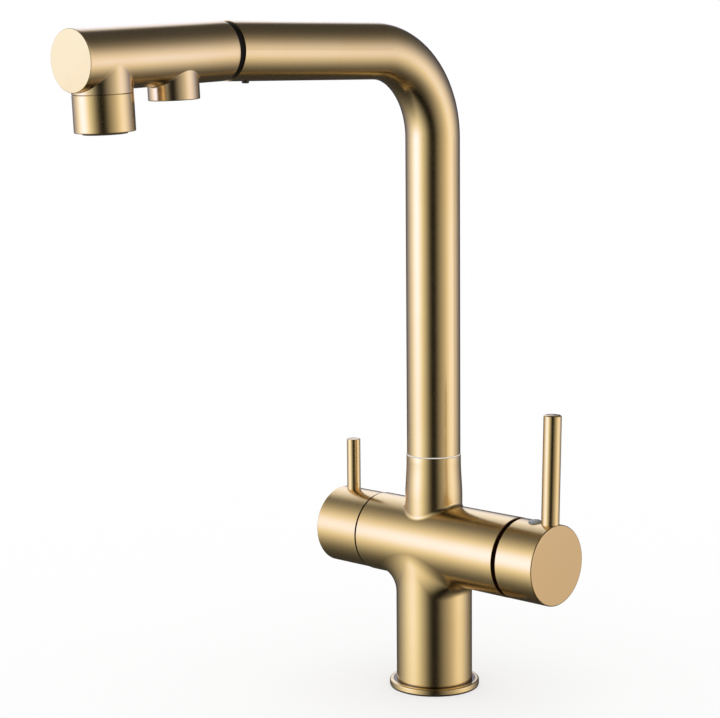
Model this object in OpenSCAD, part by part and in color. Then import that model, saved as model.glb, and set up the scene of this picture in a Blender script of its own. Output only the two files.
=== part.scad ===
// Kitchen mixer tap with a pull-out head, a mixing lever and a second lever for filtered water.
// The origin is the centre of the underside, +Z is up, the spout points along -Y,
// the mixing lever is at +X and the filter lever at -X.

/* [Base] */
// Radius of the base ring
base_r = 26.2; // [25:0.1:32]
// Height of the base ring's metal
base_t = 3.2; // [2.4:0.1:6]
// Thickness of the rubber gasket under the base ring
gasket_t = 0.8; // [0.6:0.1:2]

/* [Body] */
// Radius of the upright column
column_r = 22.1; // [21.8:0.1:22.9]
// Wall of the hollow part of the column
column_wall = 2.6; // [2:0.1:2.8]
// Height of the crossbar's axis above the worktop
cross_z = 86; // [80:1:110]
// Radius of the crossbar
cross_r = 22.95; // [22.9:0.05:24.5]
// Length of the crossbar from the column's axis to its mixing end
cross_right = 62.6; // [61:0.1:68]
// Length of the crossbar from the column's axis to its filter end
cross_left = 41.5; // [41:0.1:48]
// Height of the seam between the neck and the spout
neck_top = 137.5; // [134:0.5:150]
// Radius of the neck at its seam
neck_r = 15.75; // [15.5:0.05:16.2]
// Radius of the neck where it leaves the crossbar
neck_root_r = 16.6; // [16.3:0.1:18]
// Radius of the cast blend under the crossbar, at its sides
blend_side = 6; // [4:0.5:8]
// Radius of the cast blend under the crossbar, at its front and back
blend_front = 30; // [20:1:40]
// Radius of the cast blend at the neck
blend_neck = 3; // [2:0.25:4]
// Diameter of the threaded water ports in the column's roof
port_d = 7; // [6:0.25:7.5]
// Radius of the threaded hole for the fixing shank
shank_r = 16; // [15.8:0.1:17]

/* [Spout] */
// Radius of the spout tube
spout_r = 15.5; // [15.2:0.05:15.7]
// Wall of the spout tube
spout_wall = 1.5; // [1.2:0.1:1.6]
// Height of the arm's axis above the worktop
arm_z = 368.5; // [330:0.5:420]
// Radius of the bend, on the tube's axis
bend_r = 48.5; // [44:0.5:56]
// Reach of the arm's end from the column's axis
arm_reach = 157.5; // [152:0.5:190]
// Width of the black collar that shows between arm and head
collar_show = 3.5; // [3:0.1:5]

/* [Pull-out head] */
// Radius of the head
head_r = 15.35; // [15.2:0.05:15.6]
// Length of the head
head_len = 96.2; // [94:0.1:110]
// Droop of the head's axis under the arm's
head_droop = 2.86; // [2:0.02:3.2]
// Distance of the main outlet's axis from the head's face
main_inset = 18.2; // [17:0.1:20]
// Radius of the main outlet
main_r = 15.03; // [14.6:0.01:15.1]
// Depth of the main outlet's seam below the head's axis
main_seam = 16.6; // [16.2:0.1:18]
// Depth of the nozzle cap's lower edge below the head's axis
main_low = 35.1; // [33:0.1:40]
// Distance of the filtered outlet's axis from the head's face
filter_inset = 63.4; // [62:0.1:66]
// Radius of the filtered outlet
filter_r = 13; // [12.4:0.1:13.4]
// Depth of the filtered outlet's lower edge below the head's axis
filter_low = 22.6; // [21.5:0.1:26]
// Diameter of the mixed-water hose
mixed_hose_d = 12; // [10:0.5:12]
// Diameter of the filtered-water hose
filter_hose_d = 8; // [6:0.5:8]
// Length of the hoses that the head draws out of the arm
hose_draw = 100; // [60:1:102]

/* [Mixing lever] */
// Step of the mixing hub's radius under the crossbar's
hub_step = 0.08; // [0:0.01:0.3]
// Length of the mixing hub
hub_len = 25.9; // [25:0.1:30]
// Gap between the crossbar and the mixing hub
hub_gap = 2.7; // [2.4:0.1:3.4]
// Wall of the hub's skirt
hub_wall = 1.5; // [1.2:0.1:1.6]
// Radius of the mixing lever's rod
rod_r = 5.05; // [4:0.05:5.2]
// Height of the rod's top above the hub's axis
rod_top = 84.1; // [60:0.1:110]
// Turn of the lever back from upright, as it stands
lever_turn = 1.6; // [0:0.1:5]
// Radius of the grey plug over the hub's grub screw
plug_r = 3.7; // [3:0.1:4]
// Height by which the plug stands out of the hub
plug_proud = 0.9; // [0.3:0.1:1.2]

/* [Mixing cartridge] */
// Radius of the cartridge
cartridge_r = 17.5; // [17:0.1:17.6]
// Length of the cartridge's housing
cartridge_len = 25; // [24:0.1:26]
// Side of the square spindle
spindle_side = 8; // [7:0.1:8.2]
// Thickness of each ceramic disc
disc_t = 3; // [2.6:0.1:3.4]

/* [Filter lever] */
// Step of the filter hub's radius under the crossbar's
filter_hub_step = 0.38; // [0:0.01:0.6]
// Length of the filter hub
filter_hub_len = 31.5; // [31:0.1:36]
// Gap between the crossbar and the filter hub
filter_gap = 1; // [0.3:0.1:1.2]
// Radius of the filter lever's rod
filter_rod_r = 4.05; // [3.4:0.05:4.5]
// Distance of the rod's axis from the filter hub's face
filter_rod_inset = 9.4; // [7:0.1:11]
// Height of the filter rod's top above the hub's axis
filter_rod_top = 52.9; // [40:0.1:70]

/* [Fits] */
// Radial clearance of parts that turn in one another
run_fit = 0.05; // [0.03:0.01:0.08]
// Radial clearance of parts that are put together and stay
slip_fit = 0.1; // [0.05:0.01:0.15]
// Gap between faces that move past one another
rub_gap = 0.3; // [0.2:0.05:0.4]

/* [Hidden] */
$fn = 72;

brass = "#c8a66b";
dark = "#1d1b1a";
steel = "#b9bbbd";
ceramic = "#e8e6df";
nylon = "#d9d5cb";
cream = "#e9e4d6";
hose_grey = "#8f8f8a";
rubber = "#2a2a2a";

// Heights and bores of the body
base_top = gasket_t + base_t;
spigot_r = column_r - 2.2;
column_bore = column_r - column_wall;
roof_z = cross_z - 26;
port_ring = shank_r - port_d / 2 - 0.3;
port_depth = 10;
port_angles = [-42, 42, -83, -124, 124];
channel_r = 2.6;
elbow_r = channel_r + 0.4;
shank_t = 10;

// The two hoses stand side by side, and pass the body in one slot
hose_gap = 1.2;
hose_split = (mixed_hose_d + filter_hose_d) / 2 + hose_gap;
mixed_x = -hose_split * 0.41;
filter_x = mixed_x + hose_split;
hose_room = 0.3;

// Swivel between the neck and the spout
spout_bore = spout_r - spout_wall;
ring_t = 0.6;
spout_z = neck_top + ring_t + rub_gap / 6;
spigot_wall = 1.3;
bushing_wall = 1;
swivel_r = spout_bore - bushing_wall;
spigot_bore = swivel_r - spigot_wall;
spigot_depth = 16.5;
spigot_low = neck_top - spigot_depth;
bushing_len = 30;
bushing_top = neck_top + bushing_len;
press_gap = 0.02;
circlip_t = 1.2;
groove = 0.8;
spigot_lip = 1.4;
spigot_top = bushing_top + circlip_t + spigot_lip;
o_ring_r = groove / 2 + 0.01;
o_ring_low = 8;
o_ring_high = 22;
o_ring_at = [neck_top + o_ring_low, neck_top + o_ring_high];

// The head's axis starts at the centre of its rear face
head_y = arm_reach + collar_show;
collar_r = spout_r - 0.6;
collar_len = 21.5;
dock_r = 11.2;
dock_over = 12;
dock_len = 14;
main_y = head_len - main_inset;
filter_y = head_len - filter_inset;
head_wall = 2;
head_bore = head_r - head_wall;
face_t = 0.8;
face_stub = 3;
edge = 0.35;
seam = 0.2;
screw_inset = 13.4;
screw_y = arm_reach - screw_inset;
screw_r = 1.5;
screw_head_r = 1.95;
screw_head = 1.1;
screw_len = screw_head + spout_wall + 1.2;

// Inside of the head
waterway_r = head_bore - 0.15;
waterway_start = 6;
waterway_end = head_len - face_t - face_stub - 0.3;
hose_seat = 14;
ferrule_t = 0.45;
main_bore = 4;
filter_bore = 2.4;
valve_len = (filter_y - hose_seat) / 2 + 0.6;
nipple_r = 12.4;
nipple_top = 7;
aerator_top = 24;
aerator_gasket_t = 1.6;
aerator_r = 11.8;
aerator_proud = 1;
filter_nipple_r = 10.6;
filter_spray_r = 7.5;
filter_insert_t = 5;
filter_recess = 0.5;

// Straight end, bend and fall of the hoses in the spout
hose_end_z = spigot_top + 2;
hose_lean = 1.5;
hose_turn = bend_r + 5.5;
hose_gap_end = 0.3;
hose_steps = 14;
riser_dir = [sin(hose_lean), cos(hose_lean)];
arm_dir = [cos(head_droop), sin(head_droop)];
riser_foot = [0, hose_end_z] + hose_turn * [-riser_dir[1], riser_dir[0]];
arm_foot = [-head_y, arm_z] + hose_turn * [arm_dir[1], -arm_dir[0]];
foot_gap = riser_foot - arm_foot;
foot_det = riser_dir[0] * arm_dir[1] - riser_dir[1] * arm_dir[0];
arm_run = (riser_dir[0] * foot_gap[1] - riser_dir[1] * foot_gap[0]) / foot_det;
bend_centre = arm_foot + arm_run * arm_dir;
riser_run = (bend_centre - riser_foot) * riser_dir;

// Places along the crossbar's axis on the mixing side
seat_x = 26;
floor_t = 4;
disc_x = seat_x + floor_t;
moving_x = disc_x + disc_t;
slider_x = moving_x + disc_t;
slider_t = 5;
slider_r = 13.7;
slider_rest = 1.2;
housing_end = disc_x + cartridge_len;
housing_bore = cartridge_r - 1.8;
cone_x = housing_end - 5;
rotor_r = 12.6;
rotor_x = slider_x + slider_t + 0.6;
rotor_flange = 2.9;
rotor_end = housing_end + 3.5;
lever_tilt = 18;
rotor_slot_high = spindle_side / 2 + 1.8;
rotor_slot_low = (rotor_end - rotor_x) * sin(lever_tilt) + spindle_side / 2;
cone_end_r = rotor_r + 2.2;
pivot_x = rotor_x + 4.4;
pin_r = 1.5;
ball_r = 2.4;
ball_x = slider_x + ball_r + 0.5;
nut_x = housing_end - 4;
nut_end = cross_right - 1.4;
nut_r = 19.2;
nut_bore = rotor_r + 1.2;
hub_r = cross_r - hub_step;
hub_x = cross_right + hub_gap;
shroud_end = hub_x - 0.5;
hub_face = hub_x + hub_len;
hub_cup = 14.2;
hub_edge = 0.8;
boss_r = 9.2;
boss_x = hub_x + 5.2;
spindle_end = hub_x + hub_cup + 3;
rod_x = hub_face - rod_r - 0.35;
rod_foot = 11;
plug_x = rod_x - rod_r - plug_r - 0.5;
plug_turn = 5;
grub_r = 2.5;

// Two inlets and one outlet on the cartridge's seat, in the seat's plane, with +X of that plane downwards
cartridge_ports = [[4, -8.5], [4, 8.5], [-9, 0]];

// Places along the crossbar's axis on the filter side, counted outwards
valve_seat = 16;
valve_r = 10;
valve_hex = 12.6;
valve_hex_x = cross_left - 6;
valve_end = cross_left + 4.5;
valve_disc_r = 8;
valve_disc_x = valve_seat + 5;
valve_moving_x = valve_disc_x + disc_t;
valve_spindle_x = valve_moving_x + disc_t;
valve_flange = 1.5;
filter_spindle_r = 4;
filter_hub_r = cross_r - filter_hub_step;
filter_hub_x = cross_left + filter_gap;
filter_hub_face = filter_hub_x + filter_hub_len;
filter_cup = 15;
filter_boss_r = 8;
filter_boss_x = valve_end + 0.6;
filter_grub_x = filter_boss_x + 5;
filter_spindle_end = filter_hub_x + filter_cup + 3;
filter_rod_x = filter_hub_face - filter_rod_inset;

// Tops of the ways that rise from the ports, and the points on the two seats where they end
port_tops = [cross_z - 3, cross_z - 3, cross_z + 4, cross_z - 3, cross_z - 3];
port_seats = concat(
    [for (p = cartridge_ports) [seat_x + 1, p[1], cross_z - p[0]]],
    [for (side = [-1, 1]) [-valve_seat - 1, side * 3.2, cross_z]]
);

// Points of a quarter round at a turned piece's upper corner, from its side to its end
function top_corner(r, h, e, n = 4) =
    [for (i = [0:n]) let (a = 90 * i / n) [r - e + e * cos(a), h - e + e * sin(a)]];

// Points of a quarter round at a turned piece's lower corner, from its end to its side
function low_corner(r, h, e, n = 4) =
    [for (i = [0:n]) let (a = -90 + 90 * i / n) [r - e + e * cos(a), h + e + e * sin(a)]];

// A piece turned about +Z from points of radius and height
module turned(points) rotate_extrude() polygon(points);

// A tube or a ring about +Z
module ring(outer, inner, h) {
    difference() {
        cylinder(r = outer, h = h);
        translate([0, 0, -1]) cylinder(r = inner, h = h + 2);
    }
}

// Runs a child's +Z outwards along the crossbar's axis on the mixing side, from x
module right_at(x) translate([x, 0, cross_z]) rotate([0, 90, 0]) children();

// The same on the filter side
module left_at(x) translate([-x, 0, cross_z]) rotate([0, -90, 0]) children();

// Turns a piece of the mixing lever back from upright, as it stands
module lever() translate([0, 0, cross_z]) rotate([-lever_turn, 0, 0]) translate([0, 0, -cross_z]) children();

// Places a child in the head's frame: the axis runs along -Y from the rear face, the outlets along -Z
module head() translate([0, -head_y, arm_z]) rotate([head_droop, 0, 0]) children();

// In that frame, runs a child's +Z along the head towards its face, from y
module head_at(y) translate([0, -y, 0]) rotate([90, 0, 0]) children();

// Centre of a ball of radius e that rolls between an upright of radius v and the crossbar, at angle a
function ball(v, e, a, up) =
    [(v + e) * cos(a), (v + e) * sin(a), up * sqrt(pow(cross_r + e, 2) - pow((v + e) * sin(a), 2))];

// Section of a blend at angle a: the ball's arc between the two surfaces, and a point inside the metal
function blend_section(v, e, a, up, steps, sink) =
    let (
        c = ball(v, e, a, up),
        on_upright = [(v - sink) * cos(a), (v - sink) * sin(a), c[2]],
        shrink = (cross_r - sink) / (cross_r + e),
        on_bar = [c[0], c[1] * shrink, c[2] * shrink],
        u = on_upright - c,
        w = on_bar - c,
        open = acos((u * w) / (norm(u) * norm(w))),
        deep = 2,
        inner_v = v - deep,
        inner = [inner_v * cos(a), inner_v * sin(a),
                 up * sqrt(pow(cross_r - deep, 2) - pow(inner_v * sin(a), 2))]
    )
    concat(
        [for (i = [0:steps])
            let (t = i / steps)
            c + (sin(open * (1 - t)) * u + sin(open * t) * w) / sin(open)],
        [inner]
    );

// A cast blend all round an upright of radius v, above (up = 1) or below (up = -1) the crossbar
module blend(v, side, front, up, turns = 56, steps = 5, sink = 0.03) {
    sections = [for (k = [0:turns - 1])
        let (a = 360 * k / turns, e = side + (front - side) * pow(sin(a), 2))
        blend_section(v, e, a, up, steps, sink)];
    n = steps + 2;
    points = [for (s = sections) each s];
    faces = [for (k = [0:turns - 1], i = [0:n - 1])
        let (
            a = k * n + i,
            b = k * n + (i + 1) % n,
            c = ((k + 1) % turns) * n + (i + 1) % n,
            d = ((k + 1) % turns) * n + i
        )
        each (up > 0 ? [[a, c, b], [a, d, c]] : [[a, b, c], [a, c, d]])];
    translate([0, 0, cross_z]) polyhedron(points = points, faces = faces, convexity = 6);
}

// Rubber gasket under the base ring
module base_gasket() color(rubber) ring(base_r - 0.4, spigot_r + slip_fit, gasket_t);

// Loose ring that covers the edge of the worktop's hole
module base_ring() {
    color(brass) translate([0, 0, gasket_t]) turned(concat(
        [[spigot_r + slip_fit, 0]],
        low_corner(base_r, 0, 0.3, 2),
        top_corner(base_r, base_t, 0.9),
        [[spigot_r + slip_fit, base_t]]
    ));
}

// Outer form of the neck, from inside the crossbar to the seam
module neck_form() {
    turned([
        [0, cross_z],
        [neck_root_r, cross_z],
        [neck_root_r, cross_z + cross_r + 4],
        [neck_root_r - 0.25, cross_z + cross_r + 11],
        [neck_r + 0.15, neck_top - 9],
        [neck_r, neck_top - 4],
        [neck_r, neck_top - 0.25],
        [neck_r - 0.25, neck_top],
        [0, neck_top]
    ]);
}

// Crossbar, with its two ends broken by a small round
module cross_form() {
    length = cross_left + cross_right;
    left_at(cross_left) mirror([0, 0, 1]) turned(concat(
        [[0, 0]],
        low_corner(cross_r, 0, 0.4, 2),
        top_corner(cross_r, length, 0.4, 2),
        [[0, length]]
    ));
}

// Slot through the body for the two hoses, drawn flat
module hose_slot_outline() {
    translate([mixed_x, 0]) circle(r = mixed_hose_d / 2 + hose_room);
    translate([filter_x, 0]) circle(r = filter_hose_d / 2 + hose_room);
    translate([mixed_x, -filter_hose_d / 4]) square([hose_split, filter_hose_d / 2]);
}

// A drilled way of radius r from point p to point q
module way(p, q, r) {
    run = q - p;
    translate(p) rotate([0, acos(run[2] / norm(run)), atan2(run[1], run[0])]) cylinder(r = r, h = norm(run));
}

// Threaded ports in the column's roof, and the ways that rise from them to the two valve seats
module water_ways() {
    for (i = [0:len(port_angles) - 1]) {
        top = [port_ring * cos(port_angles[i]), port_ring * sin(port_angles[i]), port_tops[i]];
        translate([top[0], top[1], roof_z - 1]) cylinder(d = port_d, h = port_depth + 1);
        translate([top[0], top[1], roof_z]) cylinder(r = channel_r, h = top[2] - roof_z);
        translate(top) sphere(r = elbow_r);
        way(top, port_seats[i], channel_r);
    }
}

// Cast and machined body: column, crossbar and neck in one piece
module tap_body() {
    color(brass) difference() {
        union() {
            translate([0, 0, base_top]) turned(concat(
                [[0, 0]],
                low_corner(column_r, 0, 0.25, 2),
                [[column_r, cross_z - base_top], [0, cross_z - base_top]]
            ));
            cylinder(r = spigot_r, h = base_top + 1);
            cross_form();
            neck_form();
            blend(column_r, blend_side, blend_front, -1);
            blend(neck_root_r, blend_neck, blend_neck, 1, 48, 4);
        }
        translate([0, 0, shank_t]) cylinder(r = column_bore, h = roof_z - shank_t);
        translate([0, 0, -1]) cylinder(r = shank_r, h = shank_t + 2);
        translate([0, 0, roof_z - 1]) linear_extrude(height = spigot_low - roof_z + 2) hose_slot_outline();
        translate([0, 0, cross_z + cross_r + 3]) cylinder(r = spigot_bore, h = neck_top);
        translate([0, 0, spigot_low]) cylinder(r = swivel_r + slip_fit, h = neck_top);
        water_ways();
        right_at(seat_x) cylinder(r = cartridge_r + slip_fit, h = cross_right);
        right_at(nut_x) cylinder(r = nut_r + slip_fit, h = cross_right);
        left_at(valve_seat) cylinder(r = valve_r + slip_fit, h = cross_left);
        left_at(valve_hex_x) cylinder(r = valve_hex + 1.4, h = cross_left);
    }
}

// Pale glide ring that shows as a thin line at the seam
module slip_ring() {
    color(nylon) translate([0, 0, neck_top]) ring(spout_r + 0.05, swivel_r + slip_fit, ring_t);
}

// Brass tube screwed into the neck, on which the spout turns
module swivel_spigot() {
    color(brass) translate([0, 0, spigot_low]) difference() {
        cylinder(r = swivel_r, h = spigot_top - spigot_low);
        translate([0, 0, -1]) cylinder(r = spigot_bore, h = spigot_top);
        for (z = o_ring_at)
            translate([0, 0, z - spigot_low - o_ring_r - 0.1])
                ring(swivel_r + 1, swivel_r - groove, 2 * o_ring_r + 0.2);
        translate([0, 0, bushing_top - spigot_low + rub_gap / 2])
            ring(swivel_r + 1, swivel_r - groove, circlip_t + 0.1);
    }
}

// Two O-rings in the spigot's grooves
module swivel_o_rings() {
    centre_r = swivel_r - groove + o_ring_r + 0.01;
    for (z = o_ring_at)
        color(rubber) translate([0, 0, z]) rotate_extrude()
            translate([centre_r, 0]) circle(r = o_ring_r, $fn = 24);
}

// Ring that holds the spout down on the spigot
module spout_circlip() {
    color(steel) translate([0, 0, bushing_top + rub_gap / 2 + 0.05])
        ring(spout_bore - 0.3, swivel_r - groove + 0.1, circlip_t);
}

// Hose inside the body, from above the shank's thread to the spigot's top
module body_hose(x, d) {
    foot = shank_t + rub_gap;
    color(hose_grey) translate([x, 0, foot]) cylinder(d = d, h = hose_end_z - rub_gap - foot);
}

module mixed_hose_body() body_hose(mixed_x, mixed_hose_d);

module filter_hose_body() body_hose(filter_x, filter_hose_d);

// Holes of the cartridge's ports through a disc drawn along +Z
module port_holes(r, h) for (p = cartridge_ports) translate([p[0], p[1], -1]) cylinder(r = r, h = h + 2);

// Plastic floor of the cartridge, with a rim round each port for its seal
module cartridge_base() {
    color(dark) right_at(seat_x) difference() {
        cylinder(r = cartridge_r, h = floor_t);
        port_holes(channel_r, floor_t);
        for (p = cartridge_ports) translate([p[0], p[1], -1]) ring(channel_r + 1.4, channel_r - 0.5, 2);
    }
}

// Three port seals, pressed between the cartridge's floor and the body's seat
module cartridge_seals() {
    for (p = cartridge_ports)
        color(rubber) right_at(seat_x) translate([p[0], p[1], 0]) ring(channel_r + 1.3, channel_r, 1);
}

// Ceramic disc that stays still
module fixed_disc() color(ceramic) right_at(disc_x) difference() {
    cylinder(r = housing_bore - slip_fit, h = disc_t);
    port_holes(channel_r, disc_t);
}

// Plastic shell of the cartridge
module cartridge_housing() {
    color(cream) right_at(disc_x) turned([
        [housing_bore, 0],
        [cartridge_r, 0],
        [cartridge_r, cone_x - disc_x],
        [cone_end_r, cartridge_len],
        [rotor_r + run_fit, cartridge_len],
        [rotor_r + run_fit, cartridge_len - 8],
        [housing_bore, cartridge_len - 10]
    ]);
}

// Radius of the housing's cone at a place x on the crossbar's axis
function cone_r(x) = cartridge_r - (x - cone_x) * (cartridge_r - cone_end_r) / (housing_end - cone_x);

// Brass nut that holds the cartridge in the crossbar
module cartridge_nut() {
    shoulder = housing_end - nut_x + slip_fit;
    color(brass) right_at(nut_x) turned([
        [cone_r(nut_x) + slip_fit, 0],
        [nut_r, 0],
        [nut_r, nut_end - nut_x],
        [nut_bore, nut_end - nut_x],
        [nut_bore, shoulder],
        [cone_end_r + slip_fit, shoulder]
    ]);
}

// Black ring on the nut, which darkens the gap between crossbar and hub
module gap_shroud() {
    length = shroud_end - nut_end;
    color(dark) right_at(nut_end) turned(concat(
        [[nut_bore, 0], [nut_r, 0]],
        top_corner(nut_r, length, 0.5, 3),
        [[nut_bore, length]]
    ));
}

// Quarter-turn valve of the filtered water
module filter_valve_body() {
    disc_room = valve_spindle_x + valve_flange - valve_seat + 0.1;
    color(brass) left_at(valve_seat) difference() {
        union() {
            cylinder(r = valve_r, h = valve_hex_x - valve_seat);
            translate([0, 0, valve_hex_x - valve_seat])
                cylinder(r = valve_hex, h = valve_end - valve_hex_x, $fn = 6);
        }
        translate([0, 0, -1]) cylinder(r = valve_disc_r + slip_fit, h = disc_room + 1);
        cylinder(r = filter_spindle_r + run_fit, h = valve_end);
    }
}

// Seal under the valve's discs
module filter_valve_seal() {
    color(rubber) left_at(valve_seat) ring(valve_disc_r, valve_disc_r - 2.4, valve_disc_x - valve_seat);
}

// Ceramic disc with two openings, drawn along +Z
module valve_disc(h) difference() {
    cylinder(r = valve_disc_r - 0.1, h = h);
    for (side = [-1, 1]) translate([0, side * 4.2, -1]) cylinder(r = 2.2, h = h + 2);
}

module filter_fixed_disc() color(ceramic) left_at(valve_disc_x) valve_disc(disc_t);

// Hole for the collar's screw, through the arm's wall and into the collar
module screw_hole() {
    translate([0, -screw_y, arm_z - spout_r - 1])
        cylinder(r = screw_r + slip_fit, h = screw_len - screw_head + 1.2);
}

// Spout: riser, bend and arm in one tube
module spout_tube() {
    color(brass) difference() {
        union() {
            translate([0, 0, spout_z]) ring(spout_r, spout_bore, arm_z - bend_r - spout_z);
            translate([0, -bend_r, arm_z - bend_r]) rotate([90, 0, 90]) rotate_extrude(angle = 90)
                translate([bend_r, 0]) difference() {
                    circle(r = spout_r);
                    circle(r = spout_bore);
                }
            translate([0, -bend_r, arm_z]) rotate([90, 0, 0]) ring(spout_r, spout_bore, arm_reach - bend_r);
        }
        screw_hole();
    }
}

// Plastic bearing pressed into the riser, which turns on the spigot
module spout_bushing() {
    color(nylon) translate([0, 0, spout_z + 0.2])
        ring(spout_bore - press_gap, swivel_r + run_fit, bushing_top - spout_z - 0.2);
}

// Black socket in the arm's end, into which the head docks
module docking_collar() {
    color(dark) difference() {
        union() {
            translate([0, -arm_reach + collar_len, arm_z]) rotate([90, 0, 0])
                cylinder(r = spout_bore - press_gap, h = collar_len);
            translate([0, -arm_reach, arm_z]) rotate([90, 0, 0]) cylinder(r = collar_r, h = 2 * collar_show);
        }
        head() translate([0, -3 * collar_show + seam, 0])
            cube([4 * head_r, 6 * collar_show, 4 * head_r], center = true);
        head() head_at(-collar_len - dock_over) cylinder(r = dock_r + slip_fit, h = collar_len + 2 * dock_over);
        screw_hole();
    }
}

// Screw under the arm that holds the collar
module collar_screw() {
    color(brass) translate([0, -screw_y, arm_z - spout_r - screw_head]) difference() {
        turned(concat(
            [[0, 0]],
            low_corner(screw_head_r, 0, 0.7, 3),
            [[screw_head_r, screw_head], [screw_r, screw_head], [screw_r, screw_len], [0, screw_len]]
        ));
        translate([0, 0, -1]) cylinder(r = screw_r / 2, h = 1.8, $fn = 6);
    }
}

// Route of the hoses in the spout, as [y, z, angle of its outer side]: the fall, the bend and the arm's end
hose_route = concat(
    [[bend_centre + hose_turn * outward(-hose_lean) - riser_run * riser_dir, -hose_lean]],
    [for (i = [0:hose_steps])
        let (a = -hose_lean + (90 + hose_lean + head_droop) * i / hose_steps)
        [bend_centre + hose_turn * outward(a), a]],
    [[bend_centre + hose_turn * outward(90 + head_droop) - (arm_run - hose_draw - hose_gap_end) * arm_dir,
      90 + head_droop]]
);

// Unit vector in the plane of the spout, at an angle from +Y towards +Z
function outward(a) = [cos(a), sin(a)];

// Hose in the spout, swept along its route
module spout_hose(x, d) {
    sides = 16;
    rings = [for (p = hose_route) [for (k = [0:sides - 1])
        let (t = 360 * k / sides, at = p[0] + d / 2 * cos(t) * outward(p[1]))
        [x + d / 2 * sin(t), at[0], at[1]]]];
    last = len(rings) - 1;
    sweep = [for (i = [0:last - 1], k = [0:sides - 1])
        let (a = i * sides + k, b = i * sides + (k + 1) % sides)
        each [[a, b, a + sides], [b, b + sides, a + sides]]];
    ends = [[for (k = [sides - 1:-1:0]) k], [for (k = [0:sides - 1]) last * sides + k]];
    points = [for (r = rings) each r];
    color(hose_grey) polyhedron(points = points, faces = concat(sweep, ends), convexity = 4);
}

module mixed_hose_spout() spout_hose(mixed_x, mixed_hose_d);

module filter_hose_spout() spout_hose(filter_x, filter_hose_d);

// Head casting: a tube with two outlet branches
module head_shell() {
    body_len = head_len - face_t;
    color(brass) head() difference() {
        union() {
            head_at(0) turned(concat(
                [[0, 0]], low_corner(head_r, 0, edge, 2), [[head_r, body_len], [0, body_len]]));
            translate([0, -main_y, -main_seam]) cylinder(r = main_r, h = main_seam);
            translate([0, -filter_y, -filter_low]) turned(concat(
                [[0, 0]], low_corner(filter_r, 0, 0.6, 3), [[filter_r, filter_low], [0, filter_low]]));
        }
        head_at(-1) cylinder(r = head_bore, h = head_len + 2);
        translate([0, -main_y, -main_seam - 1]) cylinder(r = nipple_r + slip_fit, h = main_seam);
        translate([0, -filter_y, -filter_low - 1]) cylinder(r = filter_nipple_r + slip_fit, h = filter_low);
    }
}

// Flat disc that closes the head's front
module head_face() {
    color(brass) head() head_at(head_len - face_t - face_stub) turned(concat(
        [[0, 0], [head_bore - slip_fit, 0], [head_bore - slip_fit, face_stub], [head_r, face_stub]],
        top_corner(head_r, face_stub + face_t, edge, 3),
        [[0, face_stub + face_t]]
    ));
}

// Plastic core of the head, with a way from each hose to its outlet
module head_waterway() {
    color(nylon) head() difference() {
        head_at(waterway_start) cylinder(r = waterway_r, h = waterway_end - waterway_start);
        hose_socket(mixed_x, mixed_hose_d);
        hose_socket(filter_x, filter_hose_d);
        translate([mixed_x, 0, 0]) head_at(waterway_start)
            cylinder(r = main_bore, h = main_y - waterway_start);
        translate([filter_x, 0, 0]) head_at(waterway_start)
            cylinder(r = filter_bore, h = filter_y - waterway_start);
        translate([0, -main_y, -waterway_r]) cylinder(r = main_bore + 1, h = waterway_r);
        translate([filter_x * 0.7, -filter_y, -waterway_r]) cylinder(r = filter_bore, h = waterway_r);
        translate([0, -main_y, -waterway_r - 1])
            cylinder(r = nipple_r + slip_fit, h = 1 + waterway_r - nipple_top);
        translate([0, -filter_y, -waterway_r - 1])
            cylinder(r = filter_nipple_r + slip_fit, h = 1 + waterway_r - nipple_top);
    }
}

// Socket in the core for a hose's end and its ferrule
module hose_socket(x, d) {
    translate([x, 0, 0]) head_at(waterway_start - 1)
        cylinder(r = d / 2 + ferrule_t + slip_fit, h = hose_seat - waterway_start + 1);
}

// Tube that joins the core to the nozzle cap
module outlet_nipple() {
    color(brass) head() translate([0, -main_y, -aerator_top])
        ring(nipple_r, main_bore + 1, aerator_top - nipple_top);
}

// Nozzle cap, screwed onto the nipple
module outlet_cap() {
    height = main_low - main_seam - seam;
    color(brass) head() translate([0, -main_y, -main_low]) difference() {
        turned(concat(
            [[0, 0]], low_corner(main_r, 0, 0.5, 3), top_corner(main_r, height, 0.2, 2), [[0, height]]));
        translate([0, 0, -1]) cylinder(r = aerator_r + slip_fit, h = height + 2);
        translate([0, 0, main_low - aerator_top]) cylinder(r = nipple_r + slip_fit, h = height);
    }
}

// Dark flow straightener, pierced by rings of holes
module aerator_insert() {
    height = main_low + aerator_proud - aerator_top - aerator_gasket_t;
    tip_r = aerator_r - 0.6;
    color(dark) head() translate([0, -main_y, -main_low - aerator_proud]) difference() {
        turned(concat(
            [[0, 0]],
            low_corner(tip_r, 0, 0.5, 2),
            [[tip_r, 2.4], [aerator_r, 2.8], [aerator_r, height], [0, height]]
        ));
        translate([0, 0, -1]) cylinder(r = 0.95, h = height + 2);
        for (row = [1:3], k = [0:6 * row - 1])
            rotate([0, 0, 60 * k / row]) translate([2.9 * row, 0, -1]) cylinder(r = 0.95, h = height + 2);
    }
}

// Flat rubber ring between the flow straightener and the nipple
module aerator_gasket() {
    color(rubber) head() translate([0, -main_y, -aerator_top - aerator_gasket_t])
        ring(aerator_r - 0.1, main_bore + 2, aerator_gasket_t);
}

// Tube that joins the core to the filtered outlet
module filter_nipple() {
    foot = filter_low - filter_recess - filter_insert_t;
    color(brass) head() translate([0, -filter_y, -foot])
        ring(filter_nipple_r, filter_spray_r, foot - nipple_top);
}

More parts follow.
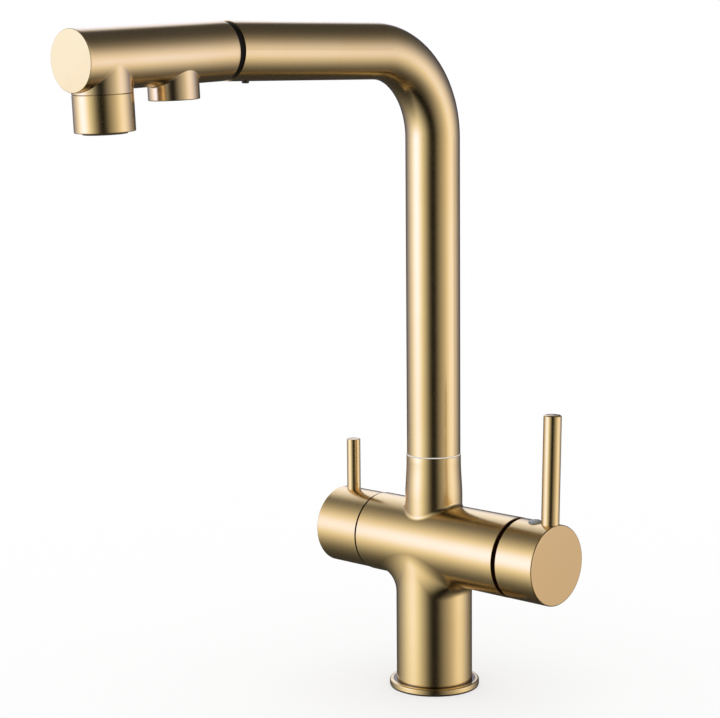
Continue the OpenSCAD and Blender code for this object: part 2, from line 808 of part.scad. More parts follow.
// Dark nozzle of the filtered water
module filter_outlet_insert() {
    color(dark) head() translate([0, -filter_y, -filter_low + filter_recess]) difference() {
        union() {
            cylinder(r = filter_nipple_r, h = filter_insert_t);
            cylinder(r = filter_spray_r - slip_fit, h = filter_insert_t + 2);
        }
        translate([0, 0, -1]) cylinder(r = 1.1, h = filter_insert_t + 4);
        for (k = [0:5])
            rotate([0, 0, 60 * k]) translate([4, 0, -1]) cylinder(r = 1.1, h = filter_insert_t + 4);
    }
}

// Black plug at the head's rear, which seats in the collar
module docking_plug() {
    color(dark) head() difference() {
        union() {
            head_at(seam) cylinder(r = head_bore - slip_fit, h = waterway_start - 2 * seam);
            head_at(-dock_len) turned([
                [0, 0], [dock_r - 0.8, 0], [dock_r, 1.4], [dock_r, dock_len + 1], [0, dock_len + 1]
            ]);
        }
        translate([mixed_x, 0, 0]) head_at(-dock_len - 1)
            cylinder(r = mixed_hose_d / 2 + run_fit, h = dock_len + 10);
        translate([filter_x, 0, 0]) head_at(-dock_len - 1)
            cylinder(r = filter_hose_d / 2 + run_fit, h = dock_len + 10);
    }
}

// Crimped sleeves on the hoses' ends
module hose_ferrules() {
    length = hose_seat - waterway_start - 0.4;
    for (h = [[mixed_x, mixed_hose_d], [filter_x, filter_hose_d]])
        color(steel) head() translate([h[0], 0, 0]) head_at(waterway_start + 0.2)
            ring(h[1] / 2 + ferrule_t, h[1] / 2, length);
}

// Hose that the head draws out of the arm, straight behind the head
module head_hose(x, d) {
    color(hose_grey) head() translate([x, 0, 0]) head_at(-hose_draw)
        cylinder(d = d, h = hose_draw + hose_seat);
}

module mixed_hose_head() head_hose(mixed_x, mixed_hose_d);

module filter_hose_head() head_hose(filter_x, filter_hose_d);

// Non-return valves in the core's two ways
module non_return_valves() {
    for (v = [[mixed_x, main_bore], [filter_x, filter_bore]])
        color(cream) head() translate([v[0], 0, 0]) head_at(hose_seat + 1)
            ring(v[1] - run_fit, v[1] * 0.55, valve_len);
}

// Plastic rotor that turns in the housing with the lever, and carries its pivot
module cartridge_rotor() {
    slot_w = spindle_side + 2 * rub_gap;
    color(nylon) lever() difference() {
        right_at(rotor_x) turned([
            [0, 0],
            [housing_bore - rub_gap, 0],
            [housing_bore - rub_gap, rotor_flange],
            [rotor_r, rotor_flange],
            [rotor_r, rotor_end - rotor_x],
            [0, rotor_end - rotor_x]
        ]);
        translate([rotor_x - 1, -slot_w / 2, cross_z - rotor_slot_low])
            cube([rotor_end - rotor_x + 2, slot_w, rotor_slot_low + rotor_slot_high]);
        pin(pin_r + slip_fit / 2, 1);
    }
}

// The lever's pivot pin, or its hole, longer by more
module pin(r, more = 0) {
    length = 2 * (rotor_r - 1.4) + 2 * more;
    translate([pivot_x, length / 2, cross_z]) rotate([90, 0, 0]) cylinder(r = r, h = length);
}

module pivot_pin() color(steel) lever() pin(pin_r);

// Plastic slider that the spindle's ball moves across the fixed disc
module disc_slider() {
    color(cream) lever() difference() {
        translate([0, 0, -slider_rest]) right_at(slider_x) cylinder(r = slider_r, h = slider_t);
        right_at(slider_x - 1) cylinder(r = ball_r + slip_fit, h = slider_t + 2);
    }
}

// Ceramic disc under the slider, hollowed where hot and cold water mix
module moving_disc() {
    color(ceramic) lever() translate([0, 0, -slider_rest]) right_at(moving_x) difference() {
        cylinder(r = slider_r - 0.2, h = disc_t);
        translate([0, 0, -1]) cylinder(r = 8.5, h = disc_t / 2 + 1);
    }
}

// Square spindle with the pivot's hole and a ball at its inner end
module cartridge_spindle() {
    foot = pivot_x - 3.8;
    color(steel) lever() difference() {
        union() {
            translate([foot, -spindle_side / 2, cross_z - spindle_side / 2])
                cube([spindle_end - slip_fit - foot, spindle_side, spindle_side]);
            right_at(ball_x) cylinder(r = ball_r * 0.7, h = foot - ball_x + 1);
            right_at(ball_x) sphere(r = ball_r);
        }
        pin(pin_r + run_fit, 1);
    }
}

// Mixing hub: a cup with a solid end, and a boss that takes the spindle
module mixer_hub() {
    skirt = hub_r - hub_wall;
    color(brass) lever() difference() {
        right_at(hub_x) turned(concat(
            [[0, boss_x - hub_x], [boss_r, boss_x - hub_x], [boss_r, hub_cup], [skirt, hub_cup], [skirt, 0]],
            low_corner(hub_r, 0, 0.3, 2),
            top_corner(hub_r, hub_len, hub_edge),
            [[0, hub_len]]
        ));
        translate([boss_x - 1, -spindle_side / 2 - slip_fit, cross_z - spindle_side / 2 - slip_fit])
            cube([spindle_end - boss_x + 1, spindle_side + 2 * slip_fit, spindle_side + 2 * slip_fit]);
        translate([rod_x, 0, cross_z + rod_foot]) cylinder(r = rod_r + slip_fit / 2, h = hub_r);
        plug_place() translate([0, 0, hub_r - hub_wall - 1])
            cylinder(r = plug_r + slip_fit / 2, h = hub_wall + 3);
        plug_place() translate([0, 0, spindle_side / 2]) cylinder(r = grub_r + slip_fit / 2, h = boss_r);
    }
}

// Places a child on the crossbar's axis under the plug, with +Z towards it
module plug_place() translate([plug_x, 0, cross_z]) rotate([plug_turn, 0, 0]) children();

// Solid rod with a softly rounded top, drawn along +Z
module rod(r, h, e) turned(concat([[0, 0], [r, 0]], top_corner(r, h, e), [[0, h + e * 0.25]]));

module mixer_rod() {
    color(brass) lever() translate([rod_x, 0, cross_z + rod_foot]) rod(rod_r, rod_top - rod_foot - 0.3, 1.2);
}

// Grey plug over the hub's grub screw
module mixer_plug() {
    foot = hub_r - hub_wall - 0.3;
    height = hub_r + plug_proud - foot;
    color("#9c9c98") lever() plug_place() translate([0, 0, foot])
        turned(concat(
            [[0, 0], [plug_r, 0]],
            top_corner(plug_r, height, 0.8, 3),
            [[plug_r / 2, height + 0.25], [0, height + 0.35]]
        ));
}

// Headless screw with a hex socket, drawn along +Z
module grub_screw(r, h) difference() {
    cylinder(r = r, h = h);
    translate([0, 0, h - 2.4]) cylinder(r = r * 0.55, h = 3, $fn = 6);
}

module mixer_grub_screw() {
    color(steel) lever() plug_place() translate([0, 0, spindle_side / 2 + 0.35])
        grub_screw(grub_r, boss_r - spindle_side / 2 - 0.8);
}

// Filter hub: a cup with a solid end, and a boss that takes the valve's spindle
module filter_hub() {
    skirt = filter_hub_r - hub_wall - 0.2;
    color(brass) difference() {
        left_at(filter_hub_x) turned(concat(
            [
                [0, filter_boss_x - filter_hub_x], [filter_boss_r, filter_boss_x - filter_hub_x],
                [filter_boss_r, filter_cup], [skirt, filter_cup], [skirt, 0]
            ],
            low_corner(filter_hub_r, 0, 0.3, 2),
            top_corner(filter_hub_r, filter_hub_len, 0.5),
            [[0, filter_hub_len]]
        ));
        left_at(filter_boss_x - 1)
            cylinder(r = filter_spindle_r + slip_fit, h = filter_spindle_end - filter_boss_x + 1);
        translate([-filter_rod_x, 0, cross_z + rod_foot])
            cylinder(r = filter_rod_r + slip_fit / 2, h = filter_hub_r);
        translate([-filter_grub_x, 0, cross_z]) rotate([-90, 0, 0])
            cylinder(r = grub_r + slip_fit / 2, h = filter_hub_r + 1);
    }
}

module filter_rod() {
    color(brass) translate([-filter_rod_x, 0, cross_z + rod_foot])
        rod(filter_rod_r, filter_rod_top - rod_foot, 0.4);
}

// Spindle of the filter valve
module filter_spindle() {
    color(brass) left_at(valve_spindle_x) union() {
        cylinder(r = valve_disc_r - slip_fit, h = valve_flange);
        cylinder(r = filter_spindle_r, h = filter_spindle_end - valve_spindle_x - slip_fit);
    }
}

module filter_moving_disc() color(ceramic) left_at(valve_moving_x) rotate([0, 0, 90]) valve_disc(disc_t);

module filter_grub_screw() {
    color(steel) translate([-filter_grub_x, filter_spindle_r + 0.1, cross_z]) rotate([-90, 0, 0])
        grub_screw(grub_r, filter_boss_r - filter_spindle_r - 0.4);
}

base_gasket();
base_ring();
tap_body();
slip_ring();
swivel_spigot();
swivel_o_rings();
spout_circlip();
mixed_hose_body();
filter_hose_body();
cartridge_base();
cartridge_seals();
fixed_disc();
cartridge_housing();
cartridge_nut();
gap_shroud();
filter_valve_body();
filter_valve_seal();
filter_fixed_disc();
spout_tube();
spout_bushing();
docking_collar();
collar_screw();
mixed_hose_spout();
filter_hose_spout();
head_shell();
head_face();
head_waterway();
outlet_nipple();
outlet_cap();
aerator_insert();
aerator_gasket();
filter_nipple();
filter_outlet_insert();
docking_plug();
hose_ferrules();
mixed_hose_head();
filter_hose_head();
non_return_valves();
cartridge_rotor();
pivot_pin();
disc_slider();
moving_disc();
cartridge_spindle();
mixer_hub();
mixer_rod();
mixer_plug();
mixer_grub_screw();
filter_hub();
filter_rod();
filter_spindle();
filter_moving_disc();
filter_grub_screw();
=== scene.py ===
"""Looks of the kitchen mixer tap: satin gold castings and tubes, two lever hubs, a pull-out head.

Pieces are worked out in millimetres and made in metres, in the frame's own place.
"""

import math

import bmesh
import bpy
import numpy as np
from mathutils import Matrix, Vector
from mathutils.geometry import delaunay_2d_cdt


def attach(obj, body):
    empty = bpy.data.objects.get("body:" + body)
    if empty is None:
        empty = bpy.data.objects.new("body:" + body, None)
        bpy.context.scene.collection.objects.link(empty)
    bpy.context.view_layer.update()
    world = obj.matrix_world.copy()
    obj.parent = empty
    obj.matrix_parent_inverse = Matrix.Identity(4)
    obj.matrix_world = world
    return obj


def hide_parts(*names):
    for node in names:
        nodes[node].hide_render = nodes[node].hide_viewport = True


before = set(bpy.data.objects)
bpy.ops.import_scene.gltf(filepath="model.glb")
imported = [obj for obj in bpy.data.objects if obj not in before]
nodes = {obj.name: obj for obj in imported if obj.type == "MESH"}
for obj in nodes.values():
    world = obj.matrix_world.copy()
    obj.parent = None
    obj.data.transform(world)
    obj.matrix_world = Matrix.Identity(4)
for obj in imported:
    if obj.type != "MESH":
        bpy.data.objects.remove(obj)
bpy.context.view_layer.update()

MM = 0.001
scene = bpy.context.scene

# Sizes of the tap in millimetres, as in its source
BASE_TOP = 4.0
COLUMN_R = 22.1
COLUMN_BORE = 19.5
SPIGOT_R = 19.9
SHANK_R = 16.0
SHANK_T = 10.0
ROOF_Z = 60.0
CROSS_Z = 86.0
CROSS_R = 22.95
CROSS_LEFT = 41.5
CROSS_RIGHT = 62.6
HUB_GAP = 2.7
HUB_FACE = 91.2
FILTER_GAP = 1.0
NECK_TOP = 137.5
NECK_R = 15.75
NECK_ROOT_R = 16.6
SPIGOT_LOW = 121.0
SPIGOT_BORE = 11.7
THROAT_LOW = CROSS_Z + CROSS_R + 3.0
SWIVEL_HOLE_R = 13.1
ARM_Z = 368.5
BEND_R = 48.5
HEAD_Y = 161.0
HEAD_R = 15.35
HEAD_BORE = 13.35
SHELL_LEN = 95.4
HEAD_DROOP = math.radians(2.86)
HEAD_TILT = (math.pi / 2 + HEAD_DROOP, 0.0, 0.0)
HEAD_CENTRE = (0, -HEAD_Y, ARM_Z)
MAIN_Y = 78.0
MAIN_R = 15.03
MAIN_SEAM = 16.6
MAIN_BORE = 12.5
FILTER_Y = 32.8
FILTER_R = 13.0
FILTER_LOW = 22.6
FILTER_BORE = 10.7
FILTER_BLEND = 0.9
LEVER_TURN = math.radians(1.6)
MIXER_ROD_X = 85.8
FILTER_ROD_X = -64.6
COLLAR_SCREW_Y = -144.1
HOSE_DRAW = 100.0
HOSE_SEAT = 14.0
HOSE_ROOM = 0.3
HOSE_BRIDGE = 2.0
PORT_RING = 12.2
PORT_R = 3.5
PORT_DEPTH = 10.0
CHANNEL_R = 2.6
CHANNEL_LOW = 6.0
PORT_ANGLES = (-42, 42, -83, -124, 124)
PORTS = [
    (PORT_RING * math.cos(math.radians(a)), PORT_RING * math.sin(math.radians(a)))
    for a in PORT_ANGLES
]

# Each hose's place across the arm and its radius
MIXED_HOSE = (-4.592, 6.0)
FILTER_HOSE = (6.608, 4.0)

# Radius of the ball that rolls in a blend, at the bar's ends and its sides, or in front and behind
COLUMN_BLEND = (6.0, 30.0)
NECK_BLEND = (2.0, 3.6)
MAIN_BLEND = (0.35, 1.0)

# Radius of each bore in the crossbar's ends, and how far from the middle it begins
CARTRIDGE_BORE = (17.6, 26.0)
CARTRIDGE_MOUTH = (19.3, 51.0)
VALVE_BORE = (10.1, 16.0)
VALVE_MOUTH = (14.0, 35.5)

# Radius of the rounded edges, the bars' at their low and high end
CROSS_EDGES = (0.2, 0.4)
HEAD_EDGES = (0.35, 0.02)
COLUMN_EDGE = 0.25
NECK_EDGE = 0.25
MAIN_EDGE = 0.15
FILTER_EDGE = 0.6

# How far a cutter goes past the faces that it opens
PAST = 1.0


def linked(name, data):
    """A new object in the scene."""
    made = bpy.data.objects.new(name, data)
    scene.collection.objects.link(made)
    return made


def mesh_of(name, shape):
    """A shape as a mesh."""
    mesh = bpy.data.meshes.new(name)
    shape.to_mesh(mesh)
    shape.free()
    return mesh


# ---- camera and studio

VIEW_TURN = math.radians(43.960)
VIEW_RISE = math.radians(8.041)
VIEW_ROLL = math.radians(-0.488)
VIEW_PLACE = (0.779243, -0.868897, 0.358243)
VIEW_LENS = 102.287
VIEW_SENSOR = 36
VIEW_END = 60


def set_camera():
    """The photograph's camera, as its least-squares fit gave it."""
    back = Vector((
        math.sin(VIEW_TURN) * math.cos(VIEW_RISE),
        -math.cos(VIEW_TURN) * math.cos(VIEW_RISE),
        math.sin(VIEW_RISE),
    ))
    level = Vector((math.cos(VIEW_TURN), math.sin(VIEW_TURN), 0))
    upright = back.cross(level)
    right = math.cos(VIEW_ROLL) * level + math.sin(VIEW_ROLL) * upright
    up = math.cos(VIEW_ROLL) * upright - math.sin(VIEW_ROLL) * level
    lens = bpy.data.cameras.new("camera")
    lens.sensor_width = VIEW_SENSOR
    lens.lens = VIEW_LENS
    lens.clip_end = VIEW_END
    camera = linked("camera", lens)
    turn = Matrix((right, up, back)).transposed().to_4x4()
    camera.matrix_world = Matrix.Translation(VIEW_PLACE) @ turn
    scene.camera = camera


class Sock:
    """An output socket of a node, which takes part in sums written in Python."""

    def __init__(self, bench, socket):
        self.bench = bench
        self.socket = socket

    def math(self, operation, *others):
        """The socket of a math node that takes this value, then the others."""
        return self.bench.node("ShaderNodeMath", {"operation": operation}, [self, *others])

    def __add__(self, other):
        return self.math("ADD", other)

    __radd__ = __add__

    def __sub__(self, other):
        return self.math("SUBTRACT", other)

    def __rsub__(self, other):
        return self.bench.node("ShaderNodeMath", {"operation": "SUBTRACT"}, [other, self])

    def __mul__(self, other):
        return self.math("MULTIPLY", other)

    __rmul__ = __mul__

    def __truediv__(self, other):
        return self.math("DIVIDE", other)

    def __pow__(self, other):
        return self.math("POWER", other)

    def __rpow__(self, other):
        return self.bench.node("ShaderNodeMath", {"operation": "POWER"}, [other, self])


class Bench:
    """Makes the nodes of one tree."""

    def __init__(self, tree):
        self.tree = tree
        tree.nodes.clear()

    def node(self, kind, settings=None, inputs=(), out=0):
        """A node of a kind: its settings first, then the values or links of its sockets."""
        made = self.tree.nodes.new(kind)
        for name, value in (settings or {}).items():
            if name == "stops":
                set_stops(made.color_ramp, value)
            else:
                setattr(made, name, value)
        pairs = inputs.items() if isinstance(inputs, dict) else enumerate(inputs)
        for key, value in pairs:
            if isinstance(value, Sock):
                self.tree.links.new(value.socket, made.inputs[key])
            else:
                made.inputs[key].default_value = value
        return Sock(self, made.outputs[out]) if made.outputs else made

    def mix(self, share, first, second):
        """The colour a share of the way from the first to the second."""
        inputs = {0: share, 6: first, 7: second}
        return self.node("ShaderNodeMix", {"data_type": "RGBA"}, inputs, out=2)

    def split(self, vector):
        """The three parts of a vector."""
        made = self.tree.nodes.new("ShaderNodeSeparateXYZ")
        self.tree.links.new(vector.socket, made.inputs[0])
        return [Sock(self, out) for out in made.outputs]

    def ease(self, value, low, high):
        """0 below low, 1 above high, and a soft step between."""
        inputs = {"Value": value, "From Min": low, "From Max": high}
        return self.node("ShaderNodeMapRange", {"interpolation_type": "SMOOTHSTEP"}, inputs)


def between(share, first, second):
    """The value a share of the way from the first to the second, each a number or a socket."""
    return (second - first) * share + first


def set_stops(ramp, stops):
    """Gives a colour ramp its stops, smoothed into one curve."""
    ramp.interpolation = "B_SPLINE"
    while len(ramp.elements) > 1:
        ramp.elements.remove(ramp.elements[-1])
    ramp.elements[0].position, ramp.elements[0].color = stops[0]
    for position, colour in stops[1:]:
        ramp.elements.new(position).color = colour


# What the metal sees round it: a level by the turn from the camera's side, in degrees.
# Dark towards the camera, a wide soft box at each side, and little light behind.
SOFT_BOXES = (
    (-180, 0.02), (-165, 0.03), (-145, 0.10), (-120, 0.53), (-102, 0.95), (-88, 1.37),
    (-75, 1.53), (-60, 1.34), (-45, 0.82), (-30, 0.42), (-18, 0.09), (-8, 0.0), (6, 0.0),
    (16, 0.13), (30, 0.35), (45, 0.55), (58, 0.80), (71, 1.15), (84, 1.20), (100, 0.87),
    (120, 0.34), (145, 0.04), (165, 0.02), (180, 0.02),
)
BOX_GAIN = 1.6
TENT_RADIUS = 3.5
TENT_HEIGHT = 0.20
TENT_SEGMENTS = 64

# The soft boxes are brightest at a rise in degrees, and have half that light so far above or below it
BOX_RISE_LEFT = 3.5
BOX_RISE_RIGHT = -5.0
ABOVE_LEFT = 32.0
ABOVE_RIGHT = 28.0
ABOVE_NEAR_RIGHT = 46.0
BELOW_LEFT = 31.0
BELOW_NEAR_LEFT = 44.0
BELOW_RIGHT = 28.0

# Low light that fills the tent but for its front, and what is added high at the right
FILL = 0.035
FILL_HIGH_RIGHT = 0.030

WARM_LEFT = (1.0, 1.01, 0.95, 1)
WARM_RIGHT = (1.0, 0.965, 0.90, 1)
COOL_GLOW = (0.90, 1.09, 1.95, 1)
DUSK_GLOW = (1.0, 1.04, 1.45, 1)
DUSK_LOSS = 0.8
DUSK_EARLIER_RIGHT = 5.4
BACK_WALL = (0.97, 1.07, 1.42, 1)
BACK_WALL_LEVEL = 1.2

# Soft steps, each from where it begins to where it is full: in degrees of turn, of rise, or in level
SIDE_STEP = (-36, 36)
MIDDLE_STEP = (-2, 2)
FAR_STEP = (50, 86)
FILL_STEP = (8, 50)
FILL_HIGH_STEP = (8, 24)
DUSK_STEP = (60, 145)
DUSK_RISE_STEP = (-25, -5)
DUSK_HIGH_STEP = (15, 36)
COOL_STEP = (1.0, 1.5)
WALL_LEFT_STEP = (125, 155)
WALL_RIGHT_STEP = (168, 180)
WALL_FOOT_STEP = (5, 13)
WALL_TOP_STEP = (30, 64)


def soft_box_half(bench, away, side, from_middle):
    """How many degrees above or below their middle the soft boxes have half their light."""
    near = 1 - bench.ease(away, *FAR_STEP)
    upper_right = between(near, ABOVE_RIGHT, ABOVE_NEAR_RIGHT)
    lower_left = between(near, BELOW_LEFT, BELOW_NEAR_LEFT)
    upper = between(side, ABOVE_LEFT, upper_right)
    lower = between(side, lower_left, BELOW_RIGHT)
    return between(bench.ease(from_middle, *MIDDLE_STEP), lower, upper)


def tent_level(bench, turn, rise, away, side):
    """Light of the soft boxes and the fill."""
    stops = [((at + 180) / 360, [level / BOX_GAIN] * 3 + [1.0]) for at, level in SOFT_BOXES]
    ring = bench.node("ShaderNodeValToRGB", {"stops": stops}, [turn / 360 + 0.5])
    from_middle = rise - between(side, BOX_RISE_LEFT, BOX_RISE_RIGHT)
    height = (from_middle / soft_box_half(bench, away, side, from_middle)).math("ABSOLUTE")
    high = bench.ease(rise, *FILL_HIGH_STEP)
    fill = bench.ease(away, *FILL_STEP) * (side * high * FILL_HIGH_RIGHT + FILL)
    return ring * (0.5 ** (height ** 2.0)) * BOX_GAIN + fill


def tent_tone(bench, rise, away, side, level):
    """Colour of that light: warm, cooler towards the back, and coolest where it is brightest."""
    dusk = bench.ease(away + side * DUSK_EARLIER_RIGHT, *DUSK_STEP) * bench.ease(rise, *DUSK_RISE_STEP)
    dusk = dusk * (1 - bench.ease(rise, *DUSK_HIGH_STEP) * DUSK_LOSS)
    warm = bench.mix(side, WARM_LEFT, WARM_RIGHT)
    return bench.mix(bench.ease(level, *COOL_STEP), bench.mix(dusk, warm, DUSK_GLOW), COOL_GLOW)


def back_wall_share(bench, turn, rise):
    """Where the pale wall behind the tap stands, whose light edges the upper sides."""
    behind = bench.ease(0 - turn, *WALL_LEFT_STEP) + bench.ease(turn, *WALL_RIGHT_STEP)
    return behind * bench.ease(rise, *WALL_FOOT_STEP) * (1 - bench.ease(rise, *WALL_TOP_STEP))


def tent_cloth():
    """The tent's glow, by the turn and the rise in which the metal sees it."""
    bench = Finish("light_tent")
    bench.material.cycles.emission_sampling = "NONE"
    aim = bench.node("ShaderNodeVectorMath", {"operation": "NORMALIZE"}, [bench.place])
    x, y, z = bench.split(aim)
    across = x * math.cos(VIEW_TURN) + y * math.sin(VIEW_TURN)
    towards = x * math.sin(VIEW_TURN) - y * math.cos(VIEW_TURN)
    turn = across.math("ARCTAN2", towards) * math.degrees(1)
    rise = z.math("ARCSINE") * math.degrees(1)
    away = turn.math("ABSOLUTE")
    side = bench.ease(turn, *SIDE_STEP)
    level = tent_level(bench, turn, rise, away, side)
    wall = back_wall_share(bench, turn, rise)
    tone = bench.mix(wall, tent_tone(bench, rise, away, side, level), BACK_WALL)
    strength = between(wall, level, BACK_WALL_LEVEL)
    light = bench.node("ShaderNodeEmission", None, {"Color": tone, "Strength": strength})
    bench.node("ShaderNodeOutputMaterial", None, {"Surface": light})
    return bench.material


def make_tent():
    """A light tent that only reflections see."""
    shape = bmesh.new()
    rows = TENT_SEGMENTS // 2
    bmesh.ops.create_uvsphere(shape, u_segments=TENT_SEGMENTS, v_segments=rows, radius=TENT_RADIUS)
    tent = linked("light_tent", mesh_of("light_tent", shape))
    tent.data.materials.append(tent_cloth())
    tent.location.z = TENT_HEIGHT
    tent.visible_camera = False
    tent.visible_diffuse = False
    tent.visible_transmission = False
    tent.visible_shadow = False


FLOOR_RADIUS = 60
FLOOR_SIDES = 96
FLOOR_WHITE = (0.996, 0.996, 0.996, 1)
FLOOR_GLOW = 0.55
WHITE = (1, 1, 1, 1)


def make_floor():
    """A plain white floor, whose own glow keeps the shadow light."""
    shape = bmesh.new()
    bmesh.ops.create_circle(shape, cap_ends=True, segments=FLOOR_SIDES, radius=FLOOR_RADIUS)
    floor = linked("floor", mesh_of("floor", shape))
    paint = bpy.data.materials.new("floor")
    paint.use_nodes = True
    bench = Bench(paint.node_tree)
    white = bench.node("ShaderNodeBsdfDiffuse", None, {"Color": FLOOR_WHITE})
    glow = bench.node("ShaderNodeEmission", None, {"Color": WHITE})
    lit = bench.node("ShaderNodeMixShader", None, [FLOOR_GLOW, white, glow])
    bench.node("ShaderNodeOutputMaterial", None, {"Surface": lit})
    floor.data.materials.append(paint)
    floor.visible_glossy = False


def make_world():
    """An even white studio. Metal sees the tent instead."""
    world = bpy.data.worlds.new("studio")
    scene.world = world
    world.use_nodes = True
    world.cycles_visibility.glossy = False
    bench = Bench(world.node_tree)
    white = bench.node("ShaderNodeBackground", None, {"Color": WHITE})
    bench.node("ShaderNodeOutputWorld", None, {"Surface": white})


# ---- finishes

# Keeps a square root and a division away from zero
TINY = 1e-12

GOLD = (0.870, 0.640, 0.315, 1)
GOLD_DEEP = (0.810, 0.560, 0.250, 1)
GOLD_PALE = (0.910, 0.700, 0.385, 1)
# Painted light and shade: copies of the one gold, each toned to how light falls on its stretch: the head,
# the spout's arm, and the crossbar with its hubs
SHADED_GOLD_HEAD = (0.830, 0.622, 0.360, 1)
SHADED_GOLD_ARM = (0.815, 0.605, 0.320, 1)
SHADED_GOLD_CROSS = (0.845, 0.605, 0.290, 1)
GOLD_FACE = (0.880, 0.685, 0.345, 1)
# Painted shade: a darker gold that stands in for the dimmer light on the mixing hub's outer face
HUB_FACE_PAINTED_SHADE = (0.700, 0.475, 0.230, 1)
# Painted shade, a near black brown, laid on the end faces in the gap by the mixing hub
GAP_PAINTED_SHADE = (0.260, 0.145, 0.065, 1)
# Painted shade for the seam by the filter hub and for the base ring's top at the column's foot
SEAM_PAINTED_SHADE = (0.120, 0.075, 0.035, 1)
BRASS = (0.78, 0.58, 0.27, 1)
STEEL = (0.60, 0.60, 0.61, 1)
YARN_SHADE = (0.16, 0.16, 0.155, 1)
YARN_MIDDLE = (0.24, 0.24, 0.235, 1)
YARN_LIGHT = (0.34, 0.34, 0.33, 1)
YARN_FLECK = (0.17, 0.17, 0.165, 1)
YARN_PALE = (0.40, 0.40, 0.385, 1)
YARN_FIBRE = (0.60, 0.60, 0.58, 1)
CERAMIC = (0.84, 0.82, 0.77, 1)
CERAMIC_SPECK = (0.62, 0.59, 0.53, 1)
DARK_STEEL = (0.085, 0.070, 0.052, 1)
BRASS_ROUGH = 0.24
CUT_BRASS_ROUGH = 0.26
STEEL_ROUGH = 0.22
DARK_STEEL_ROUGH = 0.35
GOLD_ROUGH = 0.22
GOLD_FACE_ROUGH = 0.30

# Sizes in millimetres and shares of the patterns on brushed metal
DRIFT_SIZE = 34.0
CLOUD_SIZE = 9.0
DEEP_SHARE = 0.26
PALE_SHARE = 0.14
GRAIN_MATT = 0.06
CLOUD_MATT = 0.05
GRAIN_DEPTH = 0.0025

# How a turning axis lies, and what it goes through
UPRIGHT = (0.0, 0.0, 0.0)
ALONG_X = (0.0, math.pi / 2, 0.0)
ALONG_Y = (math.pi / 2, 0.0, 0.0)
MIDDLE = (0.0, 0.0, 0.0)
CROSS_AXIS = (0.0, 0.0, CROSS_Z)


class Finish(Bench):
    """A material of the tap, with its pattern's coordinates."""

    def __init__(self, name):
        self.material = bpy.data.materials.new(name)
        self.material.use_nodes = True
        super().__init__(self.material.node_tree)
        self.place = self.node("ShaderNodeTexCoord", out="Object")

    def noise(self, size, detail=2.0, roughness=0.5):
        """Noise whose features are about size millimetres wide."""
        return self.node("ShaderNodeTexNoise", None, {
            "Vector": self.place, "Scale": 1 / (size * MM), "Detail": detail, "Roughness": roughness,
        })

    def turned(self, centre, tilt, fine=0.45, around=1.4):
        """Grain of a piece turned or brushed round an axis: fine along and across, long around."""
        local = self.node(
            "ShaderNodeMapping", {"vector_type": "TEXTURE"},
            {"Vector": self.place, "Location": [c * MM for c in centre], "Rotation": tilt},
        )
        x, y, z = self.split(local)
        radius = (x * x + y * y + TINY).math("SQRT")
        along = self.node(
            "ShaderNodeCombineXYZ", None,
            [radius / (fine * MM), z / (fine * MM), x / radius * around],
        )
        return self.node(
            "ShaderNodeTexNoise", {"noise_dimensions": "4D"},
            {"Vector": along, "W": y / radius * around, "Scale": 1.0, "Detail": 2.0, "Roughness": 0.6},
        )

    def bump(self, height, depth):
        """Relief of a height pattern, at most depth millimetres deep."""
        return self.node("ShaderNodeBump", None, {"Height": height, "Distance": depth * MM})

    def done(self, **sockets):
        """The finished material, from what feeds its surface."""
        names = {
            "colour": "Base Color", "roughness": "Roughness", "metallic": "Metallic",
            "normal": "Normal", "ior": "IOR",
        }
        inputs = {names[name]: value for name, value in sockets.items()}
        surface = self.node("ShaderNodeBsdfPrincipled", None, inputs)
        self.node("ShaderNodeOutputMaterial", None, {"Surface": surface})
        return self.material


def satin_metal(finish, grain, base, deep, pale, rough=GOLD_ROUGH, painted_shades=()):
    """Brushed metal: colour and gloss drift a little, and the grain stands in fine relief.

    Each of the painted shades is a mask function and the darker colour painted there as shade.
    """
    drift = finish.noise(DRIFT_SIZE, detail=3.0)
    cloud = finish.noise(CLOUD_SIZE, detail=4.0, roughness=0.62)
    tone = finish.mix(finish.ease(drift, 0.36, 0.66) * DEEP_SHARE, base, deep)
    tone = finish.mix(finish.ease(grain, 0.46, 0.74) * PALE_SHARE, tone, pale)
    middle = rough - (GRAIN_MATT + CLOUD_MATT) / 2
    roughness = grain * GRAIN_MATT + cloud * CLOUD_MATT + middle
    for mask_of, colour in painted_shades:
        tone = finish.mix(mask_of(finish), tone, colour)
    relief = finish.bump(grain, GRAIN_DEPTH)
    return finish.done(colour=tone, metallic=1.0, roughness=roughness, normal=relief)


def turned_gold(name, centre, tilt, rough=GOLD_ROUGH, base=GOLD, painted_shades=()):
    """Satin gold with the grain of one turning."""
    finish = Finish(name)
    grain = finish.turned(centre, tilt)
    return satin_metal(finish, grain, base, GOLD_DEEP, GOLD_PALE, rough, painted_shades)


def blended_gold(name, first, second, share_of, shaded_base, painted_shades=()):
    """Satin gold whose grain and base go from one stretch of the piece to another; the far stretch's base
    is a copy of the gold toned as painted light and shade.
    """
    finish = Finish(name)
    share = share_of(finish)
    grain = finish.turned(*first) * (1 - share) + finish.turned(*second) * share
    base = finish.mix(share, GOLD, shaded_base)
    return satin_metal(finish, grain, base, GOLD_DEEP, GOLD_PALE, painted_shades=painted_shades)


def band_along_x(finish, low, high, near, far):
    """1 between two places on X, with a soft step outside each, from near to far from it."""
    x = finish.split(finish.place)[0]
    inner = finish.ease(x, (low - far) * MM, (low - near) * MM)
    outer = finish.ease(x, (high + near) * MM, (high + far) * MM)
    return inner - outer


def mixer_gap_shade(finish):
    """Where shade is painted: the two end faces in the gap between the crossbar and the mixing hub."""
    return band_along_x(finish, CROSS_RIGHT, CROSS_RIGHT + HUB_GAP, 0.08, 0.22)


